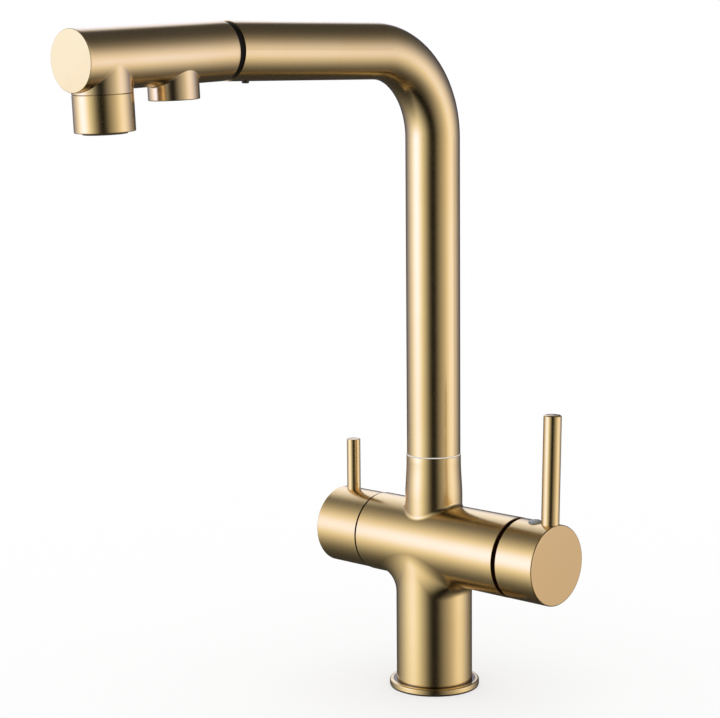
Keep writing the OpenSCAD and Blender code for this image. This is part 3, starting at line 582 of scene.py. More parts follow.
def filter_seam_shade(finish):
    """Where shade is painted: the two end faces and rims in the seam between the crossbar and the filter
    hub.
    """
    return band_along_x(finish, -CROSS_LEFT - FILTER_GAP, -CROSS_LEFT, 0.25, 0.40)


def ring_foot_shade(finish):
    """Where shade is painted: the stretch of the base ring's top at the column's foot."""
    x, y, z = finish.split(finish.place)
    out = (x * x + y * y + TINY).math("SQRT")
    clear = finish.ease(out, (COLUMN_R + 1.6) * MM, (COLUMN_R + 2.4) * MM)
    return (1 - clear) * finish.ease(z, (BASE_TOP - 0.6) * MM, (BASE_TOP - 0.2) * MM)


def hub_face_shade(finish):
    """The mixing hub's outer face, where a darker gold is painted as shade."""
    x = finish.split(finish.place)[0]
    return finish.ease(x, (HUB_FACE - 0.3) * MM, (HUB_FACE - 0.1) * MM)


def crossbar_share(finish):
    """1 on the crossbar, 0 on the column and the neck."""
    z = finish.split(finish.place)[2]
    height = (z - CROSS_Z * MM).math("ABSOLUTE")
    return 1 - finish.ease(height, 17.0 * MM, 24.0 * MM)


def arm_share(finish):
    """1 on the spout's arm, 0 on its riser; the two meet across the bend."""
    y, z = finish.split(finish.place)[1:]
    along = z - y - (ARM_Z - BEND_R * 0.6) * MM
    return finish.ease(along, -14.0 * MM, 14.0 * MM)


def moulded(name, colour, rough, grain=0.35, depth=0.006, ior=1.5):
    """Moulded plastic or rubber: a fine leathery grain, and a slow drift of tone and gloss."""
    finish = Finish(name)
    fine = finish.noise(grain, detail=2.0)
    slow = finish.noise(11.0, detail=3.0)
    lighter = tuple(min(1.0, c * 1.22 + 0.004) for c in colour[:3]) + (1,)
    share = finish.ease(slow, 0.35, 0.7) * 0.6 + finish.ease(fine, 0.5, 0.8) * 0.3
    tone = finish.mix(share, colour, lighter)
    return finish.done(
        colour=tone, roughness=rough - 0.05 + slow * 0.08 + fine * 0.04,
        normal=finish.bump(fine, depth), ior=ior,
    )


def braided(name):
    """Sleeve of a hose inside the tap: dark and light yarn, with a slow drift."""
    finish = Finish(name)
    strands = finish.noise(0.8, detail=1.0)
    slow = finish.noise(7.0, detail=2.0)
    tone = finish.mix(finish.ease(strands, 0.40, 0.62), YARN_SHADE, YARN_LIGHT)
    tone = finish.mix(finish.ease(slow, 0.4, 0.7) * 0.3, tone, YARN_MIDDLE)
    relief = finish.bump(strands, 0.05)
    return finish.done(colour=tone, roughness=0.42 + strands * 0.2, normal=relief)


def strand_yarn(name, centre, tilt):
    """Pale grey yarn with the darker flecks and fine fibres of a woven sleeve."""
    finish = Finish(name)
    fibres = finish.turned(centre, tilt, fine=0.12, around=9.0)
    flecks = finish.noise(1.6, detail=3.0, roughness=0.6)
    tone = finish.mix(finish.ease(flecks, 0.42, 0.66) * 0.7, YARN_PALE, YARN_FLECK)
    tone = finish.mix(finish.ease(fibres, 0.5, 0.8) * 0.35, tone, YARN_FIBRE)
    relief = finish.bump(fibres, 0.02)
    return finish.done(colour=tone, roughness=0.40 + fibres * 0.2, normal=relief)


def glazed(name):
    """Fired ceramic disc, ground and polished, with a few fine specks."""
    finish = Finish(name)
    specks = finish.noise(0.5, detail=3.0, roughness=0.7)
    tone = finish.mix(finish.ease(specks, 0.66, 0.76), CERAMIC, CERAMIC_SPECK)
    relief = finish.bump(specks, 0.002)
    return finish.done(colour=tone, roughness=0.16 + specks * 0.1, normal=relief)


def turned_metal(name, colour, centre, tilt, rough):
    """Bare metal with the fine grain of its turning, a tenth deeper and paler in places."""
    finish = Finish(name)
    deep = tuple(c * 0.9 for c in colour[:3]) + (1,)
    pale = tuple(min(1.0, c * 1.1) for c in colour[:3]) + (1,)
    return satin_metal(finish, finish.turned(centre, tilt, fine=0.3), colour, deep, pale, rough)


# ---- shapes

# Steps of a blend's arc, of the straight beside it and of the neck's sweep, and of a bar's rounded end
BLEND_STEPS = 14
END_STEPS = 4

# Sides of the uprights, and of a drill that is wider than so many millimetres or not
COLUMN_SIDES = 192
NECK_SIDES = 160
MAIN_SIDES = 144
FILTER_SIDES = 132
WIDE = 6.0
WIDE_SIDES = 96
FINE_SIDES = 48

# How near a loop the bar's own points may come, as a share of their spacing
LOOP_ROOM = 0.45

# Points nearer than this are one: in metres, and in the bar's flat net in millimetres
WELD = 2e-7
STRAND_WELD = 1e-7
NET_WELD = 1e-7

# Edges are crisp from so many degrees. A corner is on a cylinder that it lies this near to, in
# millimetres, with a face that looks out as much as this. A face this square to an axis is flat.
SHARP = 28.0
ROUND_SLACK = 0.002
ROUND_FACING = 0.9
FLAT_FACING = 0.99999


class Skin:
    """Collects rows of points, in millimetres, into one closed surface."""

    def __init__(self):
        self.points = []
        self.faces = []

    def grid(self, rows):
        """Quads between rows of equally many points, each row a closed loop."""
        base = len(self.points)
        count = len(rows[0])
        for row in rows:
            self.points.extend(tuple(p) for p in row)
        for i in range(len(rows) - 1):
            for k in range(count):
                a = base + i * count + k
                b = base + i * count + (k + 1) % count
                self.faces.append((a, b, b + count, a + count))

    def cap(self, row):
        """One flat face whose edge is a row."""
        base = len(self.points)
        self.points.extend(tuple(p) for p in row)
        self.faces.append(tuple(range(base, base + len(row))))

    def triangles(self, points, faces):
        """Ready faces with their points."""
        base = len(self.points)
        self.points.extend(tuple(p) for p in points)
        self.faces.extend(tuple(base + k for k in face) for face in faces)

    def piece(self, name, place=Matrix.Identity(4)):
        """The surface as a piece in metres, its seams welded and its faces outward."""
        mesh = bpy.data.meshes.new(name)
        mesh.from_pydata([tuple(c * MM for c in p) for p in self.points], [], self.faces)
        mesh.transform(place)
        shape = bmesh.new()
        shape.from_mesh(mesh)
        bmesh.ops.remove_doubles(shape, verts=shape.verts, dist=WELD)
        bmesh.ops.recalc_face_normals(shape, faces=shape.faces)
        shape.to_mesh(mesh)
        shape.free()
        return linked(name, mesh)


def circle(radius, height, sides, centre):
    """A level circle of points, as a regular polygon."""
    return [
        (
            centre[0] + radius * math.cos(math.tau * k / sides),
            centre[1] + radius * math.sin(math.tau * k / sides),
            height,
        )
        for k in range(sides)
    ]


def spun(skin, profile, sides, centre):
    """A closed solid turned about +Z from (radius, height) points, capped at both ends."""
    rows = [circle(r, z, sides, centre) for r, z in profile]
    skin.grid(rows)
    skin.cap(rows[0])
    skin.cap(rows[-1])


def quarter(radius, height, edge, steps, way):
    """Quarter round at a turned piece's end, from its side to its end; way is 1 upwards, -1 down."""
    return [
        (
            radius - edge + edge * math.cos(math.pi / 2 * i / steps),
            height + way * (edge * math.sin(math.pi / 2 * i / steps) - edge),
        )
        for i in range(steps + 1)
    ]


def ball_section(bar_r, upright_r, ball_r, turn, up, steps):
    """Arc of a ball that rolls between an upright and the bar, from the upright to the bar."""
    c, s = math.cos(turn), math.sin(turn)
    reach = upright_r + ball_r
    height = math.sqrt((bar_r + ball_r) ** 2 - (reach * s) ** 2)
    centre = Vector((reach * c, reach * s, up * height))
    shrink = bar_r / (bar_r + ball_r)
    on_upright = Vector((upright_r * c, upright_r * s, centre.z))
    on_bar = Vector((centre.x, centre.y * shrink, centre.z * shrink))
    first, last = on_upright - centre, on_bar - centre
    opening = first.angle(last)
    arc = []
    for i in range(steps + 1):
        out = math.sin(opening * (1 - i / steps)) * first + math.sin(opening * i / steps) * last
        arc.append(centre + out / math.sin(opening))
    return arc


def inside(points, loop):
    """Which of the points lie inside a closed loop, both in the plane."""
    x, y = points[:, 0][:, None], points[:, 1][:, None]
    a, b = loop, np.roll(loop, -1, axis=0)
    crosses = (a[:, 1] > y) != (b[:, 1] > y)
    with np.errstate(divide="ignore", invalid="ignore"):
        at = a[:, 0] + (y - a[:, 1]) * (b[:, 0] - a[:, 0]) / (b[:, 1] - a[:, 1])
    return (crosses & (x < at)).sum(axis=1) % 2 == 1


def unrolled(loop, bar_r):
    """Points of the bar's surface laid flat: place along the bar, and way round it."""
    return np.array([(p[0], bar_r * math.atan2(p[2], -p[1])) for p in loop])


def open_points(xs, ys, loops, room):
    """The grid's inner points that lie outside the loops, with some room to them."""
    field = np.array([(x, y) for x in xs[1:-1] for y in ys[1:-1]])
    keep = np.ones(len(field), bool)
    for loop in loops:
        keep &= ~inside(field, loop)
        near = np.linalg.norm(field[:, None, :] - loop[None, :, :], axis=2).min(axis=1)
        keep &= near > room
    return [tuple(p) for p in field[keep]]


def border(xs, ys):
    """The grid's outer points, in one round."""
    there = [(x, ys[0]) for x in xs] + [(xs[-1], y) for y in ys[1:]]
    back = [(x, ys[-1]) for x in xs[-2::-1]] + [(xs[0], y) for y in ys[-2:0:-1]]
    return there + back


def bar_surface(skin, bar_r, low, high, loops, step, sides):
    """The bar's outer face between two places, left open at the loops where uprights join it."""
    half = math.pi * bar_r
    xs = np.linspace(low, high, max(2, round((high - low) / step)) + 1)
    ys = np.linspace(-half, half, sides + 1)
    flat = [unrolled(loop, bar_r) for loop in loops]
    points = open_points(xs, ys, flat, LOOP_ROOM * step)
    edges = []
    for ring in [border(xs, ys)] + [[tuple(p) for p in loop] for loop in flat]:
        base = len(points)
        points.extend(ring)
        edges.extend((base + k, base + (k + 1) % len(ring)) for k in range(len(ring)))
    net = delaunay_2d_cdt([Vector(p) for p in points], edges, [], 0, NET_WELD)
    placed = np.array([tuple(p) for p in net[0]])
    faces = np.array([tuple(face) for face in net[2]])
    centres = placed[faces].mean(axis=1)
    outer = np.ones(len(faces), bool)
    for loop in flat:
        outer &= ~inside(centres, loop)
    angle = placed[:, 1] / bar_r
    solid = np.stack([placed[:, 0], -bar_r * np.cos(angle), bar_r * np.sin(angle)], axis=1)
    skin.triangles(solid, faces[outer])


def bar_end(skin, bar_r, end, edge, way, sides):
    """Rounded end of the bar, closed by a flat."""
    rows = []
    for r, x in quarter(bar_r, end * way, edge, END_STEPS, 1):
        angles = [-math.pi + math.tau * k / sides for k in range(sides)]
        rows.append([(x * way, -r * math.cos(a), r * math.sin(a)) for a in angles])
    skin.grid(rows)
    skin.cap(rows[-1])


def add_upright(skin, bar_r, at, radius, ball, up, profile, sides):
    """An upright's blend, straight and turned end. Gives the loop where it meets the bar."""
    angles = [math.tau * k / sides for k in range(sides)]
    arcs = [ball_section(bar_r, radius, ball(a), a, up, BLEND_STEPS) for a in angles]
    shift = Vector((at, 0, 0))
    blend = [[arc[i] + shift for arc in arcs] for i in range(BLEND_STEPS + 1)]
    skin.grid(blend)
    end = profile[0][1]
    straight = [
        [
            (p[0], p[1], arc[0].z + (end - arc[0].z) * i / BLEND_STEPS)
            for p, arc in zip(circle(radius, 0, sides, (at, 0.0)), arcs)
        ]
        for i in range(BLEND_STEPS + 1)
    ]
    lathe = [circle(r, z, sides, (at, 0.0)) for r, z in profile]
    skin.grid(straight + lathe[1:])
    skin.cap(lathe[-1])
    return blend[-1]


def casting(bar_r, low, high, edges, uprights, step=1.8, sides=120):
    """Skin of a bar along +X with uprights, joined to it by blends of a rolling ball."""
    skin = Skin()
    loops = [add_upright(skin, bar_r, *sizes) for sizes in uprights]
    bar_surface(skin, bar_r, low + edges[0], high - edges[1], loops, step, sides)
    bar_end(skin, bar_r, low, edges[0], -1, sides)
    bar_end(skin, bar_r, high, edges[1], 1, sides)
    return skin


def rounded_foot(radius, height, edge, steps):
    """Profile of an upright's foot, from where its straight stops."""
    return [(radius, height + edge)] + quarter(radius, height, edge, steps, -1)


def settled(piece):
    """What a piece's modifiers make of it, as a plain mesh. They are gone from it then."""
    bpy.context.view_layer.update()
    seen = piece.evaluated_get(bpy.context.evaluated_depsgraph_get())
    mesh = bpy.data.meshes.new_from_object(seen)
    piece.modifiers.clear()
    return mesh


def cut(piece, cutters):
    """Takes the cutters out of a piece, one after the other."""
    for cutter in cutters:
        tool = piece.modifiers.new("cut", "BOOLEAN")
        tool.operation = "DIFFERENCE"
        tool.solver = "EXACT"
        tool.object = cutter
    old = piece.data
    piece.data = settled(piece)
    piece.data.name = piece.name
    bpy.data.meshes.remove(old)
    for cutter in cutters:
        bpy.data.objects.remove(cutter)


def read(items, name, width, kind=np.float32):
    """One property of all items of a mesh, a row for each."""
    values = np.zeros(len(items) * width, kind)
    items.foreach_get(name, values)
    return values.reshape(-1, width)


def smooth(mesh):
    """Smooth faces with crisp edges."""
    shape = bmesh.new()
    shape.from_mesh(mesh)
    for face in shape.faces:
        face.smooth = True
    for edge in shape.edges:
        edge.smooth = len(edge.link_faces) == 2 and edge.calc_face_angle(0) < math.radians(SHARP)
    shape.to_mesh(mesh)
    shape.free()


def shade(piece, rounds=()):
    """Smooth shading with crisp edges; rounds are (test, normal) pairs that give exact normals."""
    mesh = piece.data
    smooth(mesh)
    corner = read(mesh.corner_normals, "vector", 3)
    at = (read(mesh.vertices, "co", 3) / MM)[read(mesh.loops, "vertex_index", 1, np.int32)[:, 0]]
    counts = read(mesh.polygons, "loop_total", 1, np.int32)[:, 0]
    facing = np.repeat(read(mesh.polygons, "normal", 3), counts, axis=0)
    for test, normal in rounds:
        want = normal(at)
        hit = test(at) & ((want * facing).sum(axis=1) > ROUND_FACING)
        corner[hit] = want[hit]
    flat = np.abs(facing).max(axis=1) > FLAT_FACING
    corner[flat] = facing[flat]
    mesh.normals_split_custom_set([tuple(n) for n in corner])


def from_axis(at, axis, centre):
    """How each point lies from an axis, numbered 0 to 2, through a centre in millimetres."""
    away = at - np.array(centre)
    away[:, axis] = 0
    return away


def cylinder(axis, centre, radius, top=math.inf):
    """The test and the normals, as shade takes them, for a cylinder's points lower than a top."""

    def test(at):
        out = np.linalg.norm(from_axis(at, axis, centre), axis=1)
        return (np.abs(out - radius) < ROUND_SLACK) & (at[:, 2] < top)

    def normal(at):
        away = from_axis(at, axis, centre)
        return away / np.maximum(np.linalg.norm(away, axis=1, keepdims=True), TINY)

    return test, normal


# Heights over the bar's axis: where the neck's sweep begins, and how far under its top it ends
SWEEP_LOW = 27.0
SWEEP_SHORT = 4.0


def neck_profile():
    """The neck narrows in one soft sweep from its root to its seam; heights are over the bar's axis."""
    top = NECK_TOP - CROSS_Z
    high = NECK_TOP - SWEEP_SHORT - CROSS_Z
    points = []
    for i in range(BLEND_STEPS + 1):
        t = i / BLEND_STEPS
        soft = t * t * (3 - 2 * t)
        points.append((NECK_ROOT_R + (NECK_R - NECK_ROOT_R) * soft, SWEEP_LOW + (high - SWEEP_LOW) * t))
    return points + quarter(NECK_R, top, NECK_EDGE, 3, 1)


def open_circle(hose, start, steps):
    """Outline round one hose from above, open where the bridge to the other joins it."""
    x, radius = hose[0], hose[1] + HOSE_ROOM
    half = math.asin(HOSE_BRIDGE / radius)
    angles = [start + half + (math.tau - 2 * half) * k / steps for k in range(steps + 1)]
    return [(x + radius * math.cos(a), radius * math.sin(a)) for a in angles]


def slot_cutter():
    """The slot through the body for the two hoses: two round ends and the bridge between."""
    outline = open_circle(MIXED_HOSE, 0.0, 40) + open_circle(FILTER_HOSE, math.pi, 32)
    skin = Skin()
    rows = [[(x, y, z) for x, y in outline] for z in (ROOF_Z - PAST, SPIGOT_LOW + PAST)]
    skin.grid(rows)
    skin.cap(rows[0])
    skin.cap(rows[1])
    return skin.piece("slot_cutter")


def drill(name, profiles, place=Matrix.Identity(4)):
    """Turned solids, each from its centre and profile, as one piece to cut with."""
    skin = Skin()
    for centre, profile in profiles:
        spun(skin, profile, WIDE_SIDES if profile[0][0] > WIDE else FINE_SIDES, centre)
    return skin.piece(name, place)


def stepped(narrow, wide, end):
    """Profile of a bore in the crossbar's end, wider from a step on."""
    return [narrow, (narrow[0], wide[1]), wide, (wide[0], end + 5 * PAST)]


def body_cutters():
    """What is taken out of the body: the way through it, its ports and the bores in its two ends."""
    hollow = [(SHANK_R, -PAST), (SHANK_R, SHANK_T), (COLUMN_BORE, SHANK_T), (COLUMN_BORE, ROOF_Z)]
    socket = [
        (SPIGOT_BORE, THROAT_LOW), (SPIGOT_BORE, SPIGOT_LOW),
        (SWIVEL_HOLE_R, SPIGOT_LOW), (SWIVEL_HOLE_R, NECK_TOP + 5 * PAST),
    ]
    port = [
        (PORT_R, ROOF_Z - PAST), (PORT_R, ROOF_Z + PORT_DEPTH),
        (CHANNEL_R, ROOF_Z + PORT_DEPTH), (CHANNEL_R, CROSS_Z - CHANNEL_LOW),
    ]
    axis = (0.0, 0.0)
    middle = Matrix.Translation((0, 0, CROSS_Z * MM))
    right = middle @ Matrix.Rotation(math.pi / 2, 4, "Y")
    left = middle @ Matrix.Rotation(-math.pi / 2, 4, "Y")
    return [
        drill("hollow_cutter", [(axis, hollow)]),
        slot_cutter(),
        drill("socket_cutter", [(axis, socket)]),
        drill("port_cutter", [(place, port) for place in PORTS]),
        drill("seat_cutter", [(axis, stepped(CARTRIDGE_BORE, CARTRIDGE_MOUTH, CROSS_RIGHT))], right),
        drill("valve_cutter", [(axis, stepped(VALVE_BORE, VALVE_MOUTH, CROSS_LEFT))], left),
    ]


def make_body():
    """Cast body: column, crossbar and neck in one skin, bored as the tap's own is."""
    foot = rounded_foot(COLUMN_R, BASE_TOP - CROSS_Z, COLUMN_EDGE, 3)
    foot += [(SPIGOT_R, BASE_TOP - CROSS_Z), (SPIGOT_R, -CROSS_Z)]
    column = (0.0, COLUMN_R, lambda a: between(math.sin(a) ** 2, *COLUMN_BLEND), -1, foot, COLUMN_SIDES)
    sweep = neck_profile()
    neck = (0.0, NECK_ROOT_R, lambda a: between(math.sin(a) ** 2, *NECK_BLEND), 1, sweep, NECK_SIDES)
    skin = casting(CROSS_R, -CROSS_LEFT, CROSS_RIGHT, CROSS_EDGES, [column, neck])
    body = skin.piece("cast_body", Matrix.Translation((0, 0, CROSS_Z * MM)))
    cut(body, body_cutters())
    shade(body, [cylinder(0, CROSS_AXIS, CROSS_R), cylinder(2, MIDDLE, COLUMN_R, CROSS_Z)])
    dress_piece(body, blended_gold(
        "satin_gold_body", (MIDDLE, UPRIGHT), (CROSS_AXIS, ALONG_X), crossbar_share, SHADED_GOLD_CROSS,
        [(mixer_gap_shade, GAP_PAINTED_SHADE), (filter_seam_shade, SEAM_PAINTED_SHADE)],
    ))
    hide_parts("tap_body")
    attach(body, "body")


def head_place():
    """The head's frame: its axis along +X here, its outlets along -Z."""
    lay = Matrix(((0, 1, 0, 0), (-1, 0, 0, 0), (0, 0, 1, 0), (0, 0, 0, 1)))
    droop = Matrix.Rotation(HEAD_DROOP, 4, "X")
    return Matrix.Translation([c * MM for c in HEAD_CENTRE]) @ droop @ lay


def head_cutters():
    """What is taken out of the head's casting: its bore and the bores of its two outlets."""
    bore = [(HEAD_BORE, -2 * PAST), (HEAD_BORE, SHELL_LEN + 2 * PAST)]
    main = [(MAIN_BORE, -MAIN_SEAM - PAST), (MAIN_BORE, -PAST)]
    spray = [(FILTER_BORE, -FILTER_LOW - PAST), (FILTER_BORE, -PAST)]
    place = head_place()
    return [
        drill("bore_cutter", [((0.0, 0.0), bore)], place @ Matrix.Rotation(math.pi / 2, 4, "Y")),
        drill("main_cutter", [((MAIN_Y, 0.0), main)], place),
        drill("spray_cutter", [((FILTER_Y, 0.0), spray)], place),
    ]


def make_head_shell():
    """Head casting: a tube with two outlet branches, crisp towards the face and softer elsewhere."""
    foot = rounded_foot(MAIN_R, -MAIN_SEAM, MAIN_EDGE, 2)
    main = (MAIN_Y, MAIN_R, lambda a: between((1 - math.cos(a)) / 2, *MAIN_BLEND), -1, foot, MAIN_SIDES)
    foot = rounded_foot(FILTER_R, -FILTER_LOW, FILTER_EDGE, 4)
    spray = (FILTER_Y, FILTER_R, lambda a: FILTER_BLEND, -1, foot, FILTER_SIDES)
    skin = casting(HEAD_R, 0.0, SHELL_LEN, HEAD_EDGES, [main, spray], step=1.5)
    shell = skin.piece("head_casting", head_place())
    cut(shell, head_cutters())
    shade(shell)
    dress_piece(shell, turned_gold("satin_gold_head", HEAD_CENTRE, HEAD_TILT, base=SHADED_GOLD_HEAD))
    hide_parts("head_shell")
    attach(shell, "head")


# ---- what winds and repeats

WINDING_SIZES = (
    ("Radius", "NodeSocketFloat"), ("Length", "NodeSocketFloat"), ("Turns", "NodeSocketFloat"),
    ("Strands", "NodeSocketInt"), ("Steps", "NodeSocketInt"), ("Half Width", "NodeSocketFloat"),
    ("Half Height", "NodeSocketFloat"), ("Wave", "NodeSocketFloat"), ("Core", "NodeSocketFloat"),
    ("Woven", "NodeSocketBool"), ("Finish", "NodeSocketMaterial"),
)
CORE_SIDES = 64
STRAND_SIDES = 6

# A woven sleeve in millimetres: how deep its strands' middle lies in the hose, how far it waves
# from there, the strands' half height, and how deep under their middle the core lies
STRAND_DEPTH = 0.55
STRAND_WAVE = 0.22
STRAND_HALF = 0.3
CORE_DEPTH = 0.2
STEPS_PER_STRAND = 6

# Where each thread's ridges begin, then their radius, length, pitch, steps, half width and half height
THREADS = (
    ("shank_thread", [(0, 0, 0.9)], SHANK_R, SHANK_T - 1.8, 1.5, 72, 0.62, 0.8),
    ("port_threads", [(x, y, ROOF_Z + 0.7) for x, y in PORTS], PORT_R, PORT_DEPTH - 1.4, 1.0, 24, 0.4, 0.5),
)


def winding_tree():
    """Strands wound round +Z: one way for a thread's ridge, or both ways and woven over a core."""
    tree = bpy.data.node_groups.new("winding", "GeometryNodeTree")
    for name, kind in WINDING_SIZES:
        tree.interface.new_socket(name, in_out="INPUT", socket_type=kind)
    tree.interface.new_socket("Mesh", in_out="OUTPUT", socket_type="NodeSocketGeometry")
    bench = Bench(tree)
    entry = tree.nodes.new("NodeGroupInput")
    size = {socket.name: Sock(bench, socket) for socket in entry.outputs if socket.name}
    right = wound_strands(bench, size, False, 1.0)
    left = wound_strands(bench, size, True, -1.0)
    core = bench.node("GeometryNodeMeshCylinder", None, {
        "Vertices": CORE_SIDES, "Radius": size["Core"], "Depth": size["Length"],
    })
    lift = bench.node("ShaderNodeCombineXYZ", None, {"Z": size["Length"] * 0.5})
    lifted = bench.node("GeometryNodeTransform", None, {"Geometry": core, "Translation": lift})
    sleeve = tree.nodes.new("GeometryNodeJoinGeometry")
    for part in (right, left, lifted):
        tree.links.new(part.socket, sleeve.inputs[0])
    chosen = bench.node("GeometryNodeSwitch", {"input_type": "GEOMETRY"}, {
        "Switch": size["Woven"], "False": right, "True": Sock(bench, sleeve.outputs[0]),
    })
    real = bench.node("GeometryNodeRealizeInstances", None, [chosen])
    done = bench.node("GeometryNodeSetMaterial", None, {"Geometry": real, "Material": size["Finish"]})
    bench.node("NodeGroupOutput", None, [done])
    return tree


def wound_strands(bench, size, backwards, over):
    """One hand's strands. Each rises and dips where the other hand's cross it."""
    line = bench.node("GeometryNodeCurveSpiral", None, {
        "Resolution": size["Steps"], "Rotations": size["Turns"], "Start Radius": size["Radius"],
        "End Radius": size["Radius"], "Height": size["Length"], "Reverse": backwards,
    })
    along = bench.node("GeometryNodeSplineParameter")
    lift = (along * size["Turns"] * size["Strands"] * math.tau).math("COSINE") * size["Wave"] * over
    x, y = bench.split(bench.node("GeometryNodeInputPosition"))[:2]
    level = bench.node("ShaderNodeCombineXYZ", None, [x, y])
    outward = bench.node("ShaderNodeVectorMath", {"operation": "NORMALIZE"}, [level])
    shift = bench.node("ShaderNodeVectorMath", {"operation": "SCALE"}, {0: outward, "Scale": lift})
    waved = bench.node("GeometryNodeSetPosition", None, {"Geometry": line, "Offset": shift})
    held = bench.node("GeometryNodeSetCurveNormal", {"mode": "Z_UP"}, {"Curve": waved})
    ring = bench.node("GeometryNodeCurvePrimitiveCircle", None, {"Resolution": STRAND_SIDES, "Radius": 1.0})
    scale = bench.node("ShaderNodeCombineXYZ", None, [size["Half Height"], size["Half Width"], 1.0])
    section = bench.node("GeometryNodeTransform", None, {"Geometry": ring, "Scale": scale})
    strand = bench.node("GeometryNodeCurveToMesh", None, {
        "Curve": held, "Profile Curve": section, "Fill Caps": True,
    })
    places = bench.node("GeometryNodePoints", None, {"Count": size["Strands"]})
    angle = bench.node("GeometryNodeInputIndex") * math.tau / size["Strands"]
    turn = bench.node("ShaderNodeCombineXYZ", None, {"Z": angle})
    return bench.node("GeometryNodeInstanceOnPoints", None, {
        "Points": places, "Instance": strand, "Rotation": turn,
    })


def winding_mesh(tree, sizes):
    """What the winding tree makes of the sizes and the finish, as a plain mesh."""
    maker = linked("maker", bpy.data.meshes.new("maker"))
    tool = maker.modifiers.new("winding", "NODES")
    tool.node_group = tree
    given = {key.replace("_", " ").title(): value for key, value in sizes.items()}
    for item in tree.interface.items_tree:
        if item.in_out == "INPUT":
            tool[item.identifier] = given[item.name]
    mesh = settled(maker)
    bpy.data.objects.remove(maker)
    return mesh


def wound(name, tree, finish, places, **sizes):
    """A piece of the winding tree, as a plain mesh at each of its places."""
    strands = winding_mesh(tree, dict(sizes, finish=finish))
    shape = bmesh.new()
    for place in places:
        copy = strands.copy()
        copy.transform(place)
        shape.from_mesh(copy)
        bpy.data.meshes.remove(copy)
    bmesh.ops.remove_doubles(shape, verts=shape.verts, dist=STRAND_WELD)
    bmesh.ops.recalc_face_normals(shape, faces=shape.faces)
    mesh = mesh_of(name, shape)
    mesh.materials.append(finish)
    mesh.polygons.foreach_set("use_smooth", [True] * len(mesh.polygons))
    return linked(name, mesh)


def make_sleeves(tree):
    """The two hoses that the head draws out of the arm, each a core in a woven sleeve."""
    finish = strand_yarn("hose_yarn", HEAD_CENTRE, HEAD_TILT)
    length = HOSE_DRAW + HOSE_SEAT
    for name, node, (x, radius), strands in (
        ("mixed_hose_sleeve", "mixed_hose_head", MIXED_HOSE, 12),
        ("filter_hose_sleeve", "filter_hose_head", FILTER_HOSE, 10),
    ):
        middle = radius - STRAND_DEPTH
        start = Matrix.Translation((-HOSE_DRAW * MM, x * MM, 0)) @ Matrix.Rotation(math.pi / 2, 4, "Y")
        sleeve = wound(
            name, tree, finish, [head_place() @ start], radius=middle * MM, length=length * MM,
            turns=length / (math.tau * middle), strands=strands, steps=STEPS_PER_STRAND * strands,
            half_width=2.0 * middle / strands * MM, half_height=STRAND_HALF * MM,
            wave=STRAND_WAVE * MM, core=(middle - CORE_DEPTH) * MM, woven=True,
        )
        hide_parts(node)
        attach(sleeve, "head")


def make_threads(tree):
    """Ridges of the threads in the shank's hole and in the water ports, seen from below."""
    finish = turned_metal("cut_brass", BRASS, MIDDLE, UPRIGHT, CUT_BRASS_ROUGH)
    for name, places, radius, length, pitch, steps, half_width, half_height in THREADS:
        ridge = wound(
            name, tree, finish, [Matrix.Translation([c * MM for c in place]) for place in places],
            radius=radius * MM, length=length * MM, turns=length / pitch, strands=1, steps=steps,
            half_width=half_width * MM, half_height=half_height * MM, wave=0.0, core=0.0, woven=False,
        )
        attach(ridge, "body")


# ---- the tap


def dress_piece(piece, material):
    """Gives a piece one material in place of all its own."""
    piece.data.materials.clear()
    piece.data.materials.append(material)


def dress(material, *names):
    """Gives one material to each of the named CAD pieces."""
    for name in names:
        dress_piece(nodes[name], material)


def dress_gold():
    """Satin gold outer pieces, each with the grain of its own turning."""
    riser, arm = (MIDDLE, UPRIGHT), ((0.0, 0.0, ARM_Z), ALONG_Y)
    dress(blended_gold("satin_gold_spout", riser, arm, arm_share, SHADED_GOLD_ARM), "spout_tube")
    ring_painted_shades = [(ring_foot_shade, SEAM_PAINTED_SHADE)]
    dress(turned_gold("satin_gold_base", MIDDLE, UPRIGHT, painted_shades=ring_painted_shades), "base_ring")
    hub_painted_shades = [(mixer_gap_shade, GAP_PAINTED_SHADE), (filter_seam_shade, SEAM_PAINTED_SHADE), (hub_face_shade, HUB_FACE_PAINTED_SHADE)]
    hub_gold = turned_gold("satin_gold_hub", CROSS_AXIS, ALONG_X, base=SHADED_GOLD_CROSS, painted_shades=hub_painted_shades)
    dress(hub_gold, "mixer_hub", "filter_hub")
    rod = (MIXER_ROD_X, 0.0, CROSS_Z)
    dress(turned_gold("satin_gold_mixer_rod", rod, (-LEVER_TURN, 0.0, 0.0)), "mixer_rod")
    rod = (FILTER_ROD_X, 0.0, CROSS_Z)
    dress(turned_gold("satin_gold_filter_rod", rod, UPRIGHT), "filter_rod")
    face = turned_gold("satin_gold_face", HEAD_CENTRE, HEAD_TILT, GOLD_FACE_ROUGH, GOLD_FACE)
    dress(face, "head_face")
    main = (0, -HEAD_Y - MAIN_Y * math.cos(HEAD_DROOP), ARM_Z - MAIN_Y * math.sin(HEAD_DROOP))
    dress(turned_gold("satin_gold_cap", main, (HEAD_DROOP, 0.0, 0.0)), "outlet_cap")


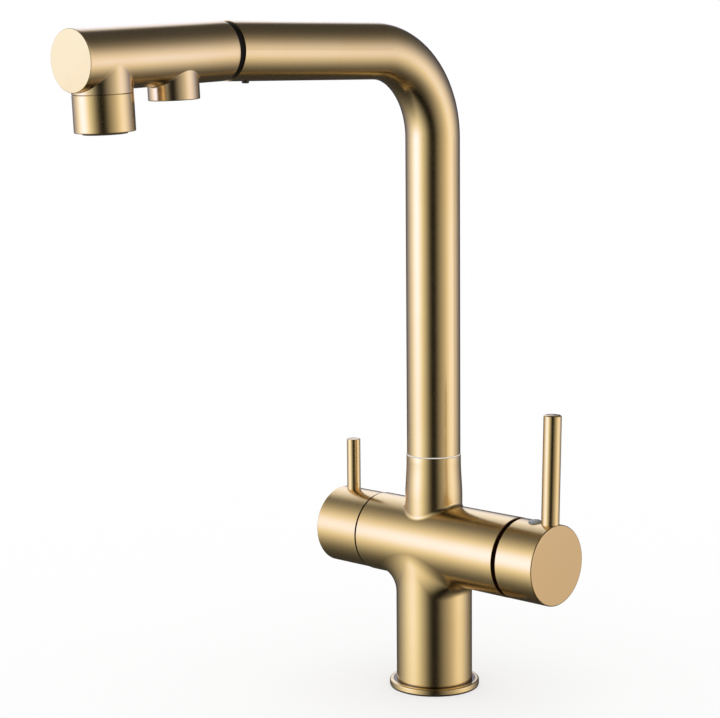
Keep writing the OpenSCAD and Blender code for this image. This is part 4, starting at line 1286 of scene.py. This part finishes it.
METALS = (
    ("bare_brass_upright", BRASS, MIDDLE, UPRIGHT, BRASS_ROUGH,
     ("swivel_spigot", "outlet_nipple", "filter_nipple")),
    ("bare_brass_cross", BRASS, CROSS_AXIS, ALONG_X, BRASS_ROUGH,
     ("cartridge_nut", "filter_valve_body", "filter_spindle")),
    ("steel_cross", STEEL, CROSS_AXIS, ALONG_X, STEEL_ROUGH, ("cartridge_spindle", "pivot_pin")),
    ("steel_upright", STEEL, MIDDLE, UPRIGHT, STEEL_ROUGH,
     ("spout_circlip", "mixer_grub_screw", "filter_grub_screw")),
    ("blackened_screw", DARK_STEEL, (0, COLLAR_SCREW_Y, 0), UPRIGHT, DARK_STEEL_ROUGH, ("collar_screw",)),
    ("steel_ferrule", STEEL, HEAD_CENTRE, HEAD_TILT, STEEL_ROUGH, ("hose_ferrules",)),
)

# Colour, roughness and, where it isn't the usual one, grain in millimetres, its depth, and IOR
PLASTICS = (
    ("black_plastic", (0.0045, 0.0030, 0.0020, 1), 0.50, {"ior": 1.18},
     ("docking_collar", "docking_plug", "filter_outlet_insert", "cartridge_base")),
    # The gap shroud is dark plastic in the gap by the mixing hub, standing in for the shade there
    ("brown_plastic", (0.050, 0.028, 0.014, 1), 0.36, {}, ("aerator_insert", "gap_shroud")),
    ("pale_nylon", (0.80, 0.77, 0.68, 1), 0.40, {}, ("slip_ring",)),
    ("white_nylon", (0.56, 0.53, 0.46, 1), 0.40, {},
     ("spout_bushing", "cartridge_rotor", "head_waterway")),
    ("cream_plastic", (0.76, 0.71, 0.60, 1), 0.42, {},
     ("cartridge_housing", "disc_slider", "non_return_valves")),
    ("black_rubber", (0.016, 0.0155, 0.015, 1), 0.66, {"grain": 0.5, "depth": 0.02},
     ("base_gasket", "swivel_o_rings", "cartridge_seals", "filter_valve_seal", "aerator_gasket")),
    ("grey_plug", (0.235, 0.245, 0.232, 1), 0.30, {}, ("mixer_plug",)),
)


def dress_rest():
    """Bare metal, plastics, rubber, ceramic and hoses."""
    for name, colour, centre, tilt, rough, pieces in METALS:
        dress(turned_metal(name, colour, centre, tilt, rough), *pieces)
    for name, colour, rough, more, pieces in PLASTICS:
        dress(moulded(name, colour, rough, **more), *pieces)
    dress(glazed("ceramic_disc"), "fixed_disc", "moving_disc", "filter_fixed_disc", "filter_moving_disc")
    hoses = [hose + part for part in ("body", "spout", "head") for hose in ("mixed_hose_", "filter_hose_")]
    dress(braided("hose_sleeve"), *hoses)


set_camera()
make_world()
make_tent()
make_floor()
make_body()
make_head_shell()
winding = winding_tree()
make_sleeves(winding)
make_threads(winding)
dress_gold()
dress_rest()

scene.view_settings.view_transform = "Standard"
